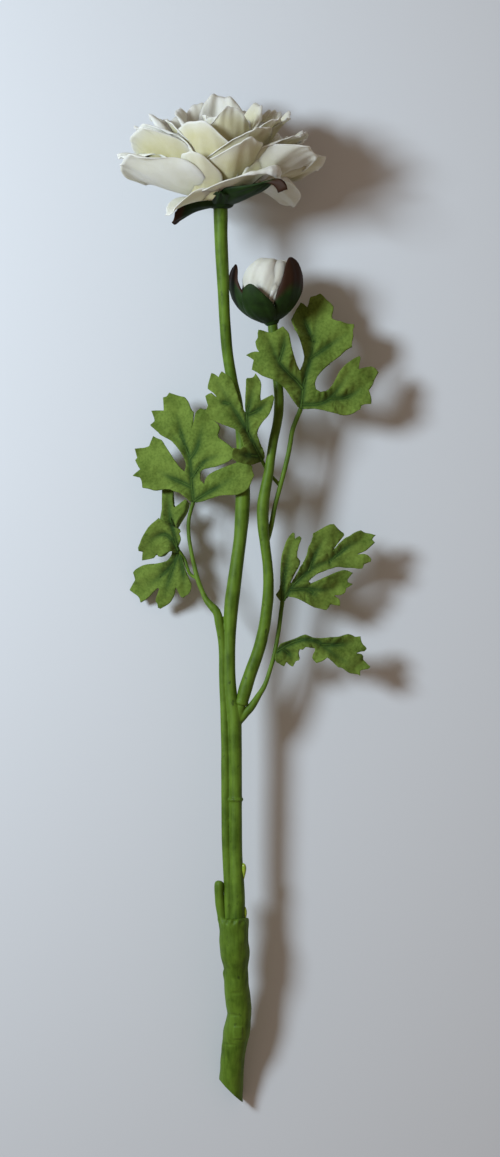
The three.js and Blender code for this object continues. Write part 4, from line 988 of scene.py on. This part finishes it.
def leaf_cloth_piece(node, seed):
    """The cloth of one leaf, smooth, pressed along its ribs and pleated between them."""
    obj = top_skin(node)
    crease_teeth(obj)
    applied(obj, "SUBSURF", levels=LEAF_LEVELS, render_levels=LEAF_LEVELS)
    points = points_of(obj)
    gap, reach, fade = rib_map(points, LEAF_RIBS[node])
    pressed = fade * bell(gap, PRESS_WIDTH)
    veined = fade * bell(gap, VEINED_WIDTH)
    pillow = np.sin(np.clip(gap / PILLOW_WIDTH, 0, 1) * math.pi)
    pleat = np.sin(2 * math.pi * (reach - SIDE_VEIN_SLANT * gap) / PLEAT_SPACING)
    pleat = pleat * np.clip(gap / PLEAT_START, 0, 1)
    waves = noise_at(points, WAVE_SIZE, seed)
    waves = waves + SMALL_WAVE_SHARE * noise_at(points, SMALL_WAVE_SIZE, seed)
    bent = WAVE_HEIGHT * waves - PRESS_DEPTH * pressed + PILLOW_HEIGHT * pillow
    points[:, 2] += bent + PLEAT_DEPTH * pleat * veined
    foot = place(*LEAF_RIBS[node][0][0], TRUE_SIZE_LEVEL)[:2]
    away = np.clip(np.linalg.norm(points[:, :2] - foot, axis=1) / LIFT_REACH, 0, 1)
    points[:, 2] += LEAF_LIFT.get(node, 0) * away ** 2 * (3 - 2 * away)
    set_points(obj, points)
    # the painted shade along the ribs, for the material to darken the valleys
    mark(obj, "rib", sum(strength * fade * bell(gap, width) for strength, width in PAINTED_RIB_SHADE_BANDS))
    mark(obj, "gap", gap)
    mark(obj, "veined", veined)
    mark(obj, "reach", reach)
    return obj


# %% [markdown]
# The ribs are moulded rods that show on the leaf's upper side. Dark lines in the print
# would be simpler, but a real rib stands out of the cloth and catches the light. So a
# ray is dropped on the cloth at each point of a rib's run to learn how high it lies, and
# the rod is laid there, thinner and deeper toward its end, until it is lost in the cloth.

# %% The ribs of one leaf
RIB_ROOT = 0.5
RIB_TIP = 0.2
RIB_TAPER = 0.8
RIB_SHARE = 0.72
SINK_AT_ROOT = 0.2
SINK_FURTHER = 0.75
RIB_SECTION = 3
RIB_ROD_STEPS = 3
FEWEST_SPOTS = 4


def rib_spots(row, cloth):
    """Where the cloth lies along the first part of a rib's run."""
    line = flat_line(row)[::2]
    spots = []
    for x, y in line[: max(FEWEST_SPOTS, int(len(line) * RIB_SHARE))]:
        hit, spot, _, _ = cloth.ray_cast(Vector((x * MM, y * MM, 1)), Vector((0, 0, -1)))
        if hit:
            spots.append(spot)
    return spots


def sunk(spots):
    """A rib's stations: on the cloth at its foot and down in it at its end."""
    stations = []
    for i, spot in enumerate(spots):
        near = spots[max(0, i - 1):i + 2]
        level = sum(s.z for s in near) / len(near)
        thin = (i / (len(spots) - 1)) ** RIB_TAPER
        radius = RIB_ROOT + (RIB_TIP - RIB_ROOT) * thin
        depth = (SINK_AT_ROOT + SINK_FURTHER * thin) * radius * MM
        stations.append((Vector((spot.x, spot.y, level - depth)), radius))
    return stations


def rib_piece(node, cloth):
    """All the ribs of one leaf, laid on its cloth."""
    rods = []
    for row in LEAF_RIBS[node]:
        spots = rib_spots(row, cloth)
        if len(spots) >= FEWEST_SPOTS:
            rods.append(swept(sunk(spots), RIB_SECTION, RIB_ROD_STEPS))
            bpy.ops.object.convert(target="MESH")
    return joined(f"{node}_ribs", rods)


# %% [markdown]
# Now each leaf is made in turn. Its cloth gets its thickness last, downward from the
# skin, so that the ribs are laid on the side that shows. The cloth takes the place of
# the model's leaf; the ribs are a piece of their own.

# %% All six leaves
LEAF_THICKNESS = 0.35
SEED_STEP = 17

for number, leaf in enumerate(LEAF_RIBS):
    cloth = leaf_cloth_piece(leaf, SEED_STEP * number)
    ribs = rib_piece(leaf, cloth)
    applied(cloth, "SOLIDIFY", thickness=LEAF_THICKNESS * MM, offset=-1)
    finished(cloth, leaf_cloth, "leaf", leaf)
    finished(ribs, rib_plastic, "leaf")

# %% [markdown]
# ## Petals and sepals
# A petal is cut from flat cloth and shaped with a hot iron. Its slope turns from the
# root to the tip, it is hollowed across, and its rim waves and rolls. To sculpt more
# than fifty of them by hand would be slow, and hard to change. So a flat grid is added
# for each, and a rule moves every point of it to its place on such a curved sheet.
# Solidify then gives the cloth its thickness.
#
# A flower has its own directions: the axis along its stem, right, and front, which looks
# at the camera. All its petals are placed in them, so the whole head can nod or lean.

# %% The frame of a flower head
TABLE_CUSHION = 4.0


def head_frame(seat, nod, lean):
    """Where a head sits, and its right, axis and front directions."""
    turn = Matrix.Rotation(math.radians(-lean), 3, "Z") @ Matrix.Rotation(math.radians(nod), 3, "X")
    right, axis, front = (np.array(turn @ Vector(v)) for v in ((1, 0, 0), (0, 1, 0), (0, 0, 1)))
    return dict(seat=place(*seat), right=right, axis=axis, front=front)


def above_table(points):
    """Cloth that would pass through the table bends along it instead."""
    height = points[..., 2] - FRAME_SHIFT[2]
    eased = TABLE_CUSHION * np.exp(np.minimum(height, TABLE_CUSHION) / TABLE_CUSHION - 1)
    points[..., 2] = np.where(height < TABLE_CUSHION, eased, height) + FRAME_SHIFT[2]
    return points


# %% [markdown]
# Every petal has eight values, in this order. `around` is its angle about the axis, with
# 0 toward the camera. `rise` and `tip` are how steeply its root and its tip climb. Then
# come its length and width, `cup`, the radius that it is hollowed to, `ruffle`, the
# height of its waves, and `root`, how far from the axis it starts. Angles are in degrees
# and sizes in millimetres. What a petal has of its own is named after them, and whatever
# it doesn't name is as usual.

# %% What each petal says
CUT_NAMES = ("around", "rise", "tip", "length", "width", "cup", "ruffle", "root")
USUAL = dict(
    # the outline: how wide at the root and the rim, how rounded, uneven and one-sided
    foot=0.1, end=0.74, blunt=0.4, point=1, uneven=0.04, slant=0,
    # the bends: height of the root, curl of the rim and where it starts, fold, tilt, twist
    base=0, curl=0, curl_from=0.8, fold=0, tilt=0, twist=0,
    # the small relief, and where the dye starts and ends
    frill=0, pleats=0.1, creases=0.3, pale=0, dye=1,
)


def cut(*values, **own):
    """One petal or sepal: the eight values that each has, then its own."""
    return dict(zip(CUT_NAMES, values), **own)


print("a petal has", len(CUT_NAMES), "values and", len(USUAL), "usual ones")

# %% [markdown]
# The bending goes in steps that a hand would know. First how far along the cloth each
# point lies, as the rim isn't straight; then how steeply the cloth climbs there; then
# the hollow from side to side; and last the ruffles, pleats and creases, which are sums
# of sines with a random start, so that no two petals are alike.

# %% Length, slope and hollow
UNEVEN_WAVES = ((0.5, 5.2), (0.3, 9.7))
BLUNT_POWER = 2.4
CURL_POWER = 1.5
FOLD_FROM = 0.84


def along(values, axis):
    """Running sum of small steps, starting from nought."""
    middles = np.diff(values, axis=axis) / 2
    steps = (values[:-1] if axis == 0 else values[:, :-1]) + middles
    total = np.cumsum(steps, axis=axis)
    start = np.zeros_like(total[:1] if axis == 0 else total[:, :1])
    return np.concatenate([start, total], axis=axis)


def edge_of(spot, start):
    """Nought in the middle of the cloth, rising to one at its edge."""
    return np.clip((spot - start) / (1 - start), 0, 1)


def run_of(side, far, shape, phase):
    """How far each point lies from the root, along the cloth."""
    outline = sum(h * np.sin(turns * side + p) for (h, turns), p in zip(UNEVEN_WAVES, phase))
    length = shape["length"] * (1 + shape["uneven"] * outline * far ** 2)
    rounded = shape["blunt"] * np.abs(side) ** BLUNT_POWER
    return far * length * (1 + shape["slant"] * side - rounded)


def slope_of(far, run, shape):
    """How steeply the cloth climbs: it turns from root to tip and curls at the rim."""
    turn_rate = math.radians(shape["tip"] - shape["rise"]) / shape["length"]
    slope = math.radians(shape["rise"]) + turn_rate * run
    return slope + math.radians(shape["curl"]) * edge_of(far, shape["curl_from"]) ** CURL_POWER


def hollow_of(side, far, part, shape):
    """How far each point lies to the side of the middle line, and how far above it."""
    spread = shape["foot"] + (shape["end"] - shape["foot"]) * part
    half = shape["width"] / 2 * np.sin(math.pi * spread) ** shape["point"]
    bow = side * half / shape["cup"] + math.radians(shape["fold"]) * edge_of(-side, FOLD_FROM)
    stride = half * (side[0, 1] - side[0, 0])
    middle = side.shape[1] // 2
    ways = (along(np.cos(bow) * stride, 1), along(np.sin(bow) * stride, 1))
    sideways, lift = (way - way[:, middle:middle + 1] for way in ways)
    tilt = np.radians(shape["tilt"] * far)
    tilted = sideways * np.cos(tilt) - lift * np.sin(tilt)
    return tilted, sideways * np.sin(tilt) + lift * np.cos(tilt)


# %% [markdown]
# The ruffles grow toward the rim, the pleats are fine and lie in the middle of the
# petal, and the creases are broad and slow. The pleats and the creases swerve a little
# on their way, as they would where an iron was drawn along the cloth by hand.

# %% Ruffles, pleats and creases
RUFFLE_TURNS = 2.6
FLUTTER_SHARE = 0.3
FLUTTER_TURNS = 7.1
FRILL_TURNS = 11
PLEATS_ACROSS = 44
PLEAT_SWERVE = (3, 5)
PLEAT_FADE = (0.8, 1.4)
CREASES_ACROSS = 13
CREASE_SWERVE = (2.5, 2.4)
CREASE_FADE = 1.3


def waved(lift, side, far, part, shape, phase):
    """Adds the ruffles of the rim, and the pleats and creases along the petal."""
    wave = shape["ruffle"] * part ** 2 * np.sin(RUFFLE_TURNS * math.pi * side + shape["around"])
    flutter = np.sin(FLUTTER_TURNS * math.pi * side + phase[2])
    wave = wave + FLUTTER_SHARE * shape["ruffle"] * part ** 3 * flutter
    wave = wave + shape["frill"] * part ** 5 * np.sin(FRILL_TURNS * math.pi * side + phase[3])
    swerve = PLEAT_SWERVE[0] * np.sin(PLEAT_SWERVE[1] * side + phase[4])
    faded = np.sin(math.pi * far ** PLEAT_FADE[0]) ** PLEAT_FADE[1]
    pleat = np.sin(PLEATS_ACROSS * side + swerve) * faded
    swerve = CREASE_SWERVE[0] * np.sin(CREASE_SWERVE[1] * far + phase[1])
    crease = np.sin(CREASES_ACROSS * side + swerve + phase[0])
    crease = crease * np.sin(math.pi * far ** CREASE_FADE)
    return lift + wave + shape["pleats"] * pleat + shape["creases"] * crease


# %% [markdown]
# The steps are put together. Small strides along the slope add up to how far out and up
# each point goes, the relief is added square to the cloth, and the whole petal is turned
# to its place round the axis.


# %% The whole bend
def bend_petal(side, far, head, shape, phase):
    """Where a grid's points go: side is -1 to 1 across, far is 0 to 1 from root to rim."""
    run = run_of(side, far, shape, phase)
    part = run / shape["length"]
    slope = slope_of(far, run, shape)
    stride = np.gradient(run, axis=0)
    outward = shape["root"] + along(np.cos(slope) * stride, 0)
    upward = shape["base"] + along(np.sin(slope) * stride, 0)
    sideways, lift = hollow_of(side, far, part, shape)
    lift = waved(lift, side, far, part, shape, phase)
    outward = outward - lift * np.sin(slope)
    turn = np.radians(shape["around"] + shape["twist"] * part)
    ways = dict(
        right=outward * np.sin(turn) + sideways * np.cos(turn),
        front=outward * np.cos(turn) - sideways * np.sin(turn),
        axis=upward + lift * np.cos(slope),
    )
    spots = sum(way[..., None] * head[name] for name, way in ways.items())
    return above_table(spots + head["seat"])


# %% [markdown]
# One petal is one grid. It is marked with how far along and across each point lies,
# where its rim gets a painted highlight, and how creamy the whole petal is: most get a
# random bit of cream, as petals are dyed by hand, while the petals at the shaded right
# and back are given more cream as painted shade. All petals of one group are joined, and
# get their thickness together.

# %% Petals as sheets, and in groups
RIM_HIGHLIGHT_FROM = 0.8
MOST_CREAM = 0.3


def petal_sheet(head, shape, rng, rows, columns):
    """One petal's cloth as a bent grid, marked for its dye."""
    only(table)
    bpy.ops.mesh.primitive_grid_add(x_subdivisions=columns, y_subdivisions=rows, size=2)
    obj = bpy.context.object
    flat = points_of(obj) * MM
    flat = flat.reshape(-1, len(np.unique(flat[:, 0].round(5))), 3)
    side, far = flat[..., 0], (flat[..., 1] + 1) / 2
    phase = rng.uniform(0, 2 * math.pi, 5)
    cream = rng.uniform(0.0, MOST_CREAM)
    set_points(obj, bend_petal(side, far, head, shape, phase).reshape(-1, 3))
    mark(obj, "reach", shape["pale"] + (shape["dye"] - shape["pale"]) * far.ravel())
    mark(obj, "across", side.ravel())
    # painted highlight: the rim, and the sides toward the tip, are marked to be whitened
    rim_highlight_beside = edge_of(np.abs(side), RIM_HIGHLIGHT_FROM) * np.minimum(2 * far, 1)
    mark(obj, "rim", np.maximum(edge_of(far, RIM_HIGHLIGHT_FROM), rim_highlight_beside).ravel() ** 2)
    mark(obj, "tint", shape.get("tint", cream))
    return obj


def petal_group(name, head, petals, grid, seed, thickness, **usual):
    """Several petals in one piece of cloth; usual says what they have in common."""
    rng = np.random.default_rng(seed)
    sheets = [petal_sheet(head, {**USUAL, **usual, **petal}, rng, *grid) for petal in petals]
    print(name, "has", len(sheets), "sheets")
    return applied(joined(name, sheets), "SOLIDIFY", thickness=thickness * MM, offset=0)


# %% [markdown]
# ## The bloom
# The open flower has its petals in rings: loose wide ones at the front and outside,
# a bowl, rings that close round the heart, and the tight heart itself. Those that show
# in the photograph are set one by one to lie as they do there. The hidden ones follow
# their neighbours.

# %% The petals of the bloom
BLOOM_PETALS = [
    # the front of the bloom, as it is seen in the photograph
    cut(-36, 60, 84, 36.5, 36, 19, 0.2, 9, curl=-20, tint=0.85, dye=0.7, pleats=0.2, blunt=0.36,
        foot=0.16, end=0.68),
    cut(-30, 48, 66, 25, 23, 14, 0.2, 13, dye=0.65, pale=0.3, tint=0.2, pleats=0.03, creases=0.1),
    cut(20, 66, 86, 42, 32, 15, 0.5, 4.5, curl=-30, dye=0.6, tint=0.6),
    cut(18, 36, 58, 34, 38, 19, 0.3, 5, slant=0.26, curl=-20, dye=0.7, tint=0.3),
    cut(38, 48, 62, 39, 38, 21, 0.6, 4, slant=0.14, curl=-30, dye=0.6, tint=0.3),
    cut(70, 26, 36, 46, 38, 20, 0.5, 3, slant=0.14, tilt=-36, curl=-30, fold=150),
    cut(34, 33, 24, 28, 36, 60, 0.3, 5, slant=0.28, curl=-150, curl_from=0.88, tilt=10, uneven=0.02,
        foot=0.06, pale=0.6, pleats=0.03),
    cut(-54, 2, -30, 26, 26, 18, 0.6, 4, curl=-20, tilt=14, pale=0.6, pleats=0.03, creases=0.1),
    cut(126, 38, -44, 41, 38, 34, 0.6, 3, pale=0.6),
    # the widest ring
    cut(-71, 12, 34, 47, 41, 32, 1.1, 3, curl=-30, tilt=20, end=0.74, pale=0.5, pleats=0.03),
    cut(-97, 26, 32, 49, 32, 26, 1, 3, curl=-60),
    cut(-112, 26, 34, 46, 46, 24, 1.4, 3, curl=-60),
    cut(-134, 22, 32, 43, 44, 28, 1.4, 3, curl=-50),
    cut(-170, 24, 34, 42, 44, 28, 1.4, 3, curl=-50),
    cut(155, 24, 34, 43, 44, 28, 1.4, 3, curl=-50),
    # tint 0.8 on these right and back petals is painted shade, as they lie in shadow
    cut(118, 24, 32, 45, 44, 28, 1.4, 3, curl=-40, tint=0.8),
    cut(92, 20, 28, 46, 44, 26, 1.2, 3, curl=-40, tilt=-24, tint=0.8),
    # the bowl
    cut(-76, 34, 50, 46, 31, 26, 0.7, 5, curl=-30, tilt=34, end=0.62, dye=0.56, tint=0.15),
    cut(-98, 40, 52, 47, 42, 24, 1, 4, curl=-40, tilt=24),
    cut(-122, 38, 46, 47, 42, 22, 1.2, 4, curl=-50),
    cut(-146, 40, 46, 46, 42, 24, 1.4, 4, curl=-50),
    cut(176, 40, 48, 46, 42, 24, 1.4, 4, curl=-50),
    # tint 0.8 on these right and back petals is painted shade, as they lie in shadow
    cut(140, 40, 46, 47, 42, 24, 1.2, 4, curl=-30, frill=0.6, tint=0.8),
    cut(110, 36, 46, 47, 38, 26, 1.2, 4, curl=-30, frill=0.9, tint=0.8),
    cut(84, 38, 48, 46, 38, 22, 1.2, 4, curl=-30, frill=0.8, tint=0.8),
    # the rings that close round the heart
    cut(-84, 56, 70, 41, 30, 18, 0.6, 4, curl=-30, dye=0.35, tint=0.5),
    cut(-102, 52, 62, 47, 42, 22, 1, 4, curl=-50),
    cut(-136, 54, 64, 47, 40, 20, 1, 4, curl=-60),
    cut(-168, 54, 64, 48, 40, 22, 1.2, 4, curl=-50),
    cut(158, 54, 66, 49, 40, 22, 1.2, 4, curl=-50),
    # tint 0.8 on these right and back petals is painted shade, as they lie in shadow
    cut(124, 54, 64, 49, 36, 20, 1, 4, curl=-30, frill=0.8, tint=0.8),
    cut(96, 52, 62, 47, 36, 20, 1, 4, curl=-30, frill=0.7, tint=0.8),
    cut(70, 52, 64, 44, 34, 18, 0.8, 4, curl=-30, tint=0.8),
    cut(-112, 66, 78, 45, 36, 18, 0.8, 4, curl=-50),
    cut(-156, 68, 82, 47, 38, 19, 1, 4, curl=-50),
    cut(180, 68, 86, 50, 38, 19, 1, 4, curl=-40),
    # tint 0.8 on this back petal is painted shade, as it lies in shadow
    cut(118, 66, 80, 46, 36, 18, 0.9, 4, curl=-40, tint=0.8),
]
HEART_PETALS = [
    cut(60 + 72 * i, 78, 98, 38, 26, 12, 0.5, 4.5, curl=-30, tint=0.8)
    for i in range(5)
] + [
    cut(24 + 90 * i, 80, 106, 34, 20, 8.5, 0.4, 3.5, tint=1)
    for i in range(4)
] + [
    cut(10 + 120 * i, 86, 138, 32, 14, 5.5, 0.2, 1.8, twist=20, tint=1)
    for i in range(3)
]

print(len(BLOOM_PETALS), "outer petals and", len(HEART_PETALS), "in the heart")

# %% [markdown]
# The outer petals and the heart are two pieces of the same cloth, and together they take
# the place of the model's petals. The heart has a coarser grid, as little of it shows.

# %% Making the bloom
BLOOM_SEAT = (220.5, 201, 38.6)
BLOOM_NOD = 6
BLOOM_LEAN = 0
PETAL_CLOTH = 0.36
OUTER_GRID = (30, 34)
HEART_GRID = (24, 24)

bloom = head_frame(BLOOM_SEAT, BLOOM_NOD, BLOOM_LEAN)
outer = petal_group("bloom_outer_petals", bloom, BLOOM_PETALS, OUTER_GRID, 4, PETAL_CLOTH)
finished(outer, petal_cloth, "petal", "bloom_petals")
heart = petal_group("bloom_heart_petals", bloom, HEART_PETALS, HEART_GRID, 9, PETAL_CLOTH)
finished(heart, petal_cloth, "petal", "bloom_petals")

# %% [markdown]
# ## Calyx of the bloom
# Five dark sepals and a small moulded cup hold the petals on the stem. The cup is a
# cone drawn in and rounded: a short profile of radius and height, spun about the axis.


# %% A cup spun from its profile
CUP_SIDES = 32
CUP_LEVELS = 2


def turned_cup(name, head, profile, **marks):
    """A closed body of revolution about the head's axis, marked for its dye."""
    only(table)
    bpy.ops.mesh.primitive_plane_add(size=1)
    obj = bpy.context.object
    obj.name = name
    obj.data.clear_geometry()
    corners = [(radius * MM, 0, height * MM) for radius, height in profile]
    obj.data.from_pydata(corners, [(i, i + 1) for i in range(len(profile) - 1)], [])
    with editing(obj):
        bpy.ops.mesh.spin(steps=CUP_SIDES, angle=2 * math.pi, center=(0, 0, 0), axis=(0, 0, 1))
        bpy.ops.mesh.select_all(action="SELECT")
        bpy.ops.mesh.remove_doubles(threshold=WELD * MM)
    spun = points_of(obj)
    spots = sum(spun[:, i, None] * head[way] for i, way in enumerate(("right", "front", "axis")))
    set_points(obj, spots + head["seat"])
    with editing(obj):
        bpy.ops.mesh.normals_make_consistent(inside=False)
    applied(obj, "SUBSURF", levels=CUP_LEVELS, render_levels=CUP_LEVELS)
    for mark_name, value in marks.items():
        mark(obj, mark_name, value)
    return obj


# %% [markdown]
# The sepals are made like the petals, but narrower and of thicker cloth. The large one
# at the right rolls over at its end, the left one droops, and their ends are brown.

# %% Sepals and cup of the bloom
BLOOM_SEPALS = [
    cut(48, 12, 34, 42, 25, 14, 0.3, 1, base=-2.6, curl=-115, curl_from=0.69, tilt=-5, foot=0.42,
        end=0.99, point=1.8, tint=1),
    cut(-66, -2, -34, 23.5, 15, 7, 0.3, 1, base=-2.6, tilt=44, end=0.74, blunt=0.3, tint=1),
    cut(0, 10, 30, 17, 17, 9, 0.3, 1, base=-2.5, tint=0),
    cut(134, 26, 30, 18, 12, 12, 0.6, 1, base=-2.6, tint=0),
    cut(-140, 2, 10, 24, 12, 12, 0.6, 1, base=-2.6, tint=0),
]
BLOOM_CUP = [(0, -3.4), (3.9, -3.4), (5.0, -3.0), (6.2, -1.8), (6.0, -0.4), (0, 0.6)]
SEPAL_CLOTH = 0.6
SEPAL_GRID = (26, 18)
SEPAL_OUTLINE = dict(foot=0.2, end=0.94, blunt=0.12)

sepals = petal_group(
    "bloom_sepals", bloom, BLOOM_SEPALS, SEPAL_GRID, 21, SEPAL_CLOTH, **SEPAL_OUTLINE
)
cup = turned_cup("bloom_cup", bloom, BLOOM_CUP, reach=0, tint=0)
finished(joined("bloom_calyx_cloth", [sepals, cup]), sepal_cloth, "sepal", "bloom_calyx")

# %% [markdown]
# ## The bud
# The bud is a ball of white cloth wound round itself: six broad petals, each twisted
# about the axis and closed over the top, with pleats that follow the twist. A closed
# ball of the same cloth stands under them, so that no gap between two petals shows the
# inside. It leans a little more to the right than the calyx does.

# %% Wound petals of the bud
BUD_BALL_SEAT = (261.5, 321, 28.5)
BUD_NOD = 5
BUD_BALL_LEAN = 11
BUD_GRID = (28, 28)
BUD_BALL = [(0, 1.6), (3.6, 2.2), (7.2, 7.5), (9.8, 14), (10.4, 19.5), (8.2, 24.6), (0, 26.8)]
WOUND = dict(base=1.2, twist=30, pleats=0.26, curl=90, curl_from=0.5)
BUD_PETALS = [
    cut(-50 + 60 * i, 48, 100, 34.6 - 3.4 * (i // 4), 28 - 2 * (i % 2), 11.8 - 0.5 * (i % 2), 0.15,
        3.4 - 0.4 * (i % 2))
    for i in range(6)
]

bud_ball = head_frame(BUD_BALL_SEAT, BUD_NOD, BUD_BALL_LEAN)
wound = petal_group("bud_petal_cloth", bud_ball, BUD_PETALS, BUD_GRID, 13, PETAL_CLOTH, **WOUND)
ball = turned_cup("bud_ball", bud_ball, BUD_BALL, reach=1, across=0, tint=0.2, rim=0)
finished(joined("bud_wound_cloth", [wound, ball]), bud_cloth, "petal", "bud_petals")

# %% [markdown]
# Five thick dark sepals stand round the ball like a bowl, on a small cup. They are made
# like the others, with smoother rims and fainter creases. The one at the right is pale
# only at its foot and brown at its end, and the one at the left bends far over the ball.

# %% Calyx of the bud
BUD_SEAT = (271.5, 321, 28.5)
BUD_LEAN = -12
BUD_SEPALS = [
    cut(-26, 8, 94, 26.4, 15.6, 11, 0.1, 1, base=-0.6, foot=0.04, end=0.74, blunt=0.34, tint=0),
    cut(57, 12, 109, 34.4, 18.5, 12, 0.2, 1, base=-0.6, tilt=-16, foot=0.04, end=0.72, pale=0.45,
        tint=1),
    cut(-84, 14, 130, 36, 15, 10, 0.2, 1, base=-0.6, tilt=24, tint=1),
    cut(-165, 20, 96, 25, 15, 12, 0.2, 1, base=-0.6, tint=0.6),
    cut(122, 20, 96, 27, 15, 12, 0.2, 1, base=-0.6, tint=0.6),
]
BUD_CUP = [(0, -2.1), (2.5, -2.0), (3.2, -1.0), (4.1, 0.1), (3.4, 0.9), (0, 1.1)]
BUD_SEPAL_OUTLINE = dict(foot=0.2, end=0.78, blunt=0.42, uneven=0.01, creases=0.12)

bud = head_frame(BUD_SEAT, BUD_NOD, BUD_LEAN)
bud_sepals = petal_group(
    "bud_sepals", bud, BUD_SEPALS, SEPAL_GRID, 31, SEPAL_CLOTH, **BUD_SEPAL_OUTLINE
)
bud_cup = turned_cup("bud_cup", bud, BUD_CUP, reach=0, tint=0)
finished(joined("bud_calyx_cloth", [bud_sepals, bud_cup]), sepal_cloth, "sepal", "bud_calyx")

# %% [markdown]
# ## The whole spray
# The model's box was kept before anything was added.

# %% The end
print(len(pieces_made), "pieces made")
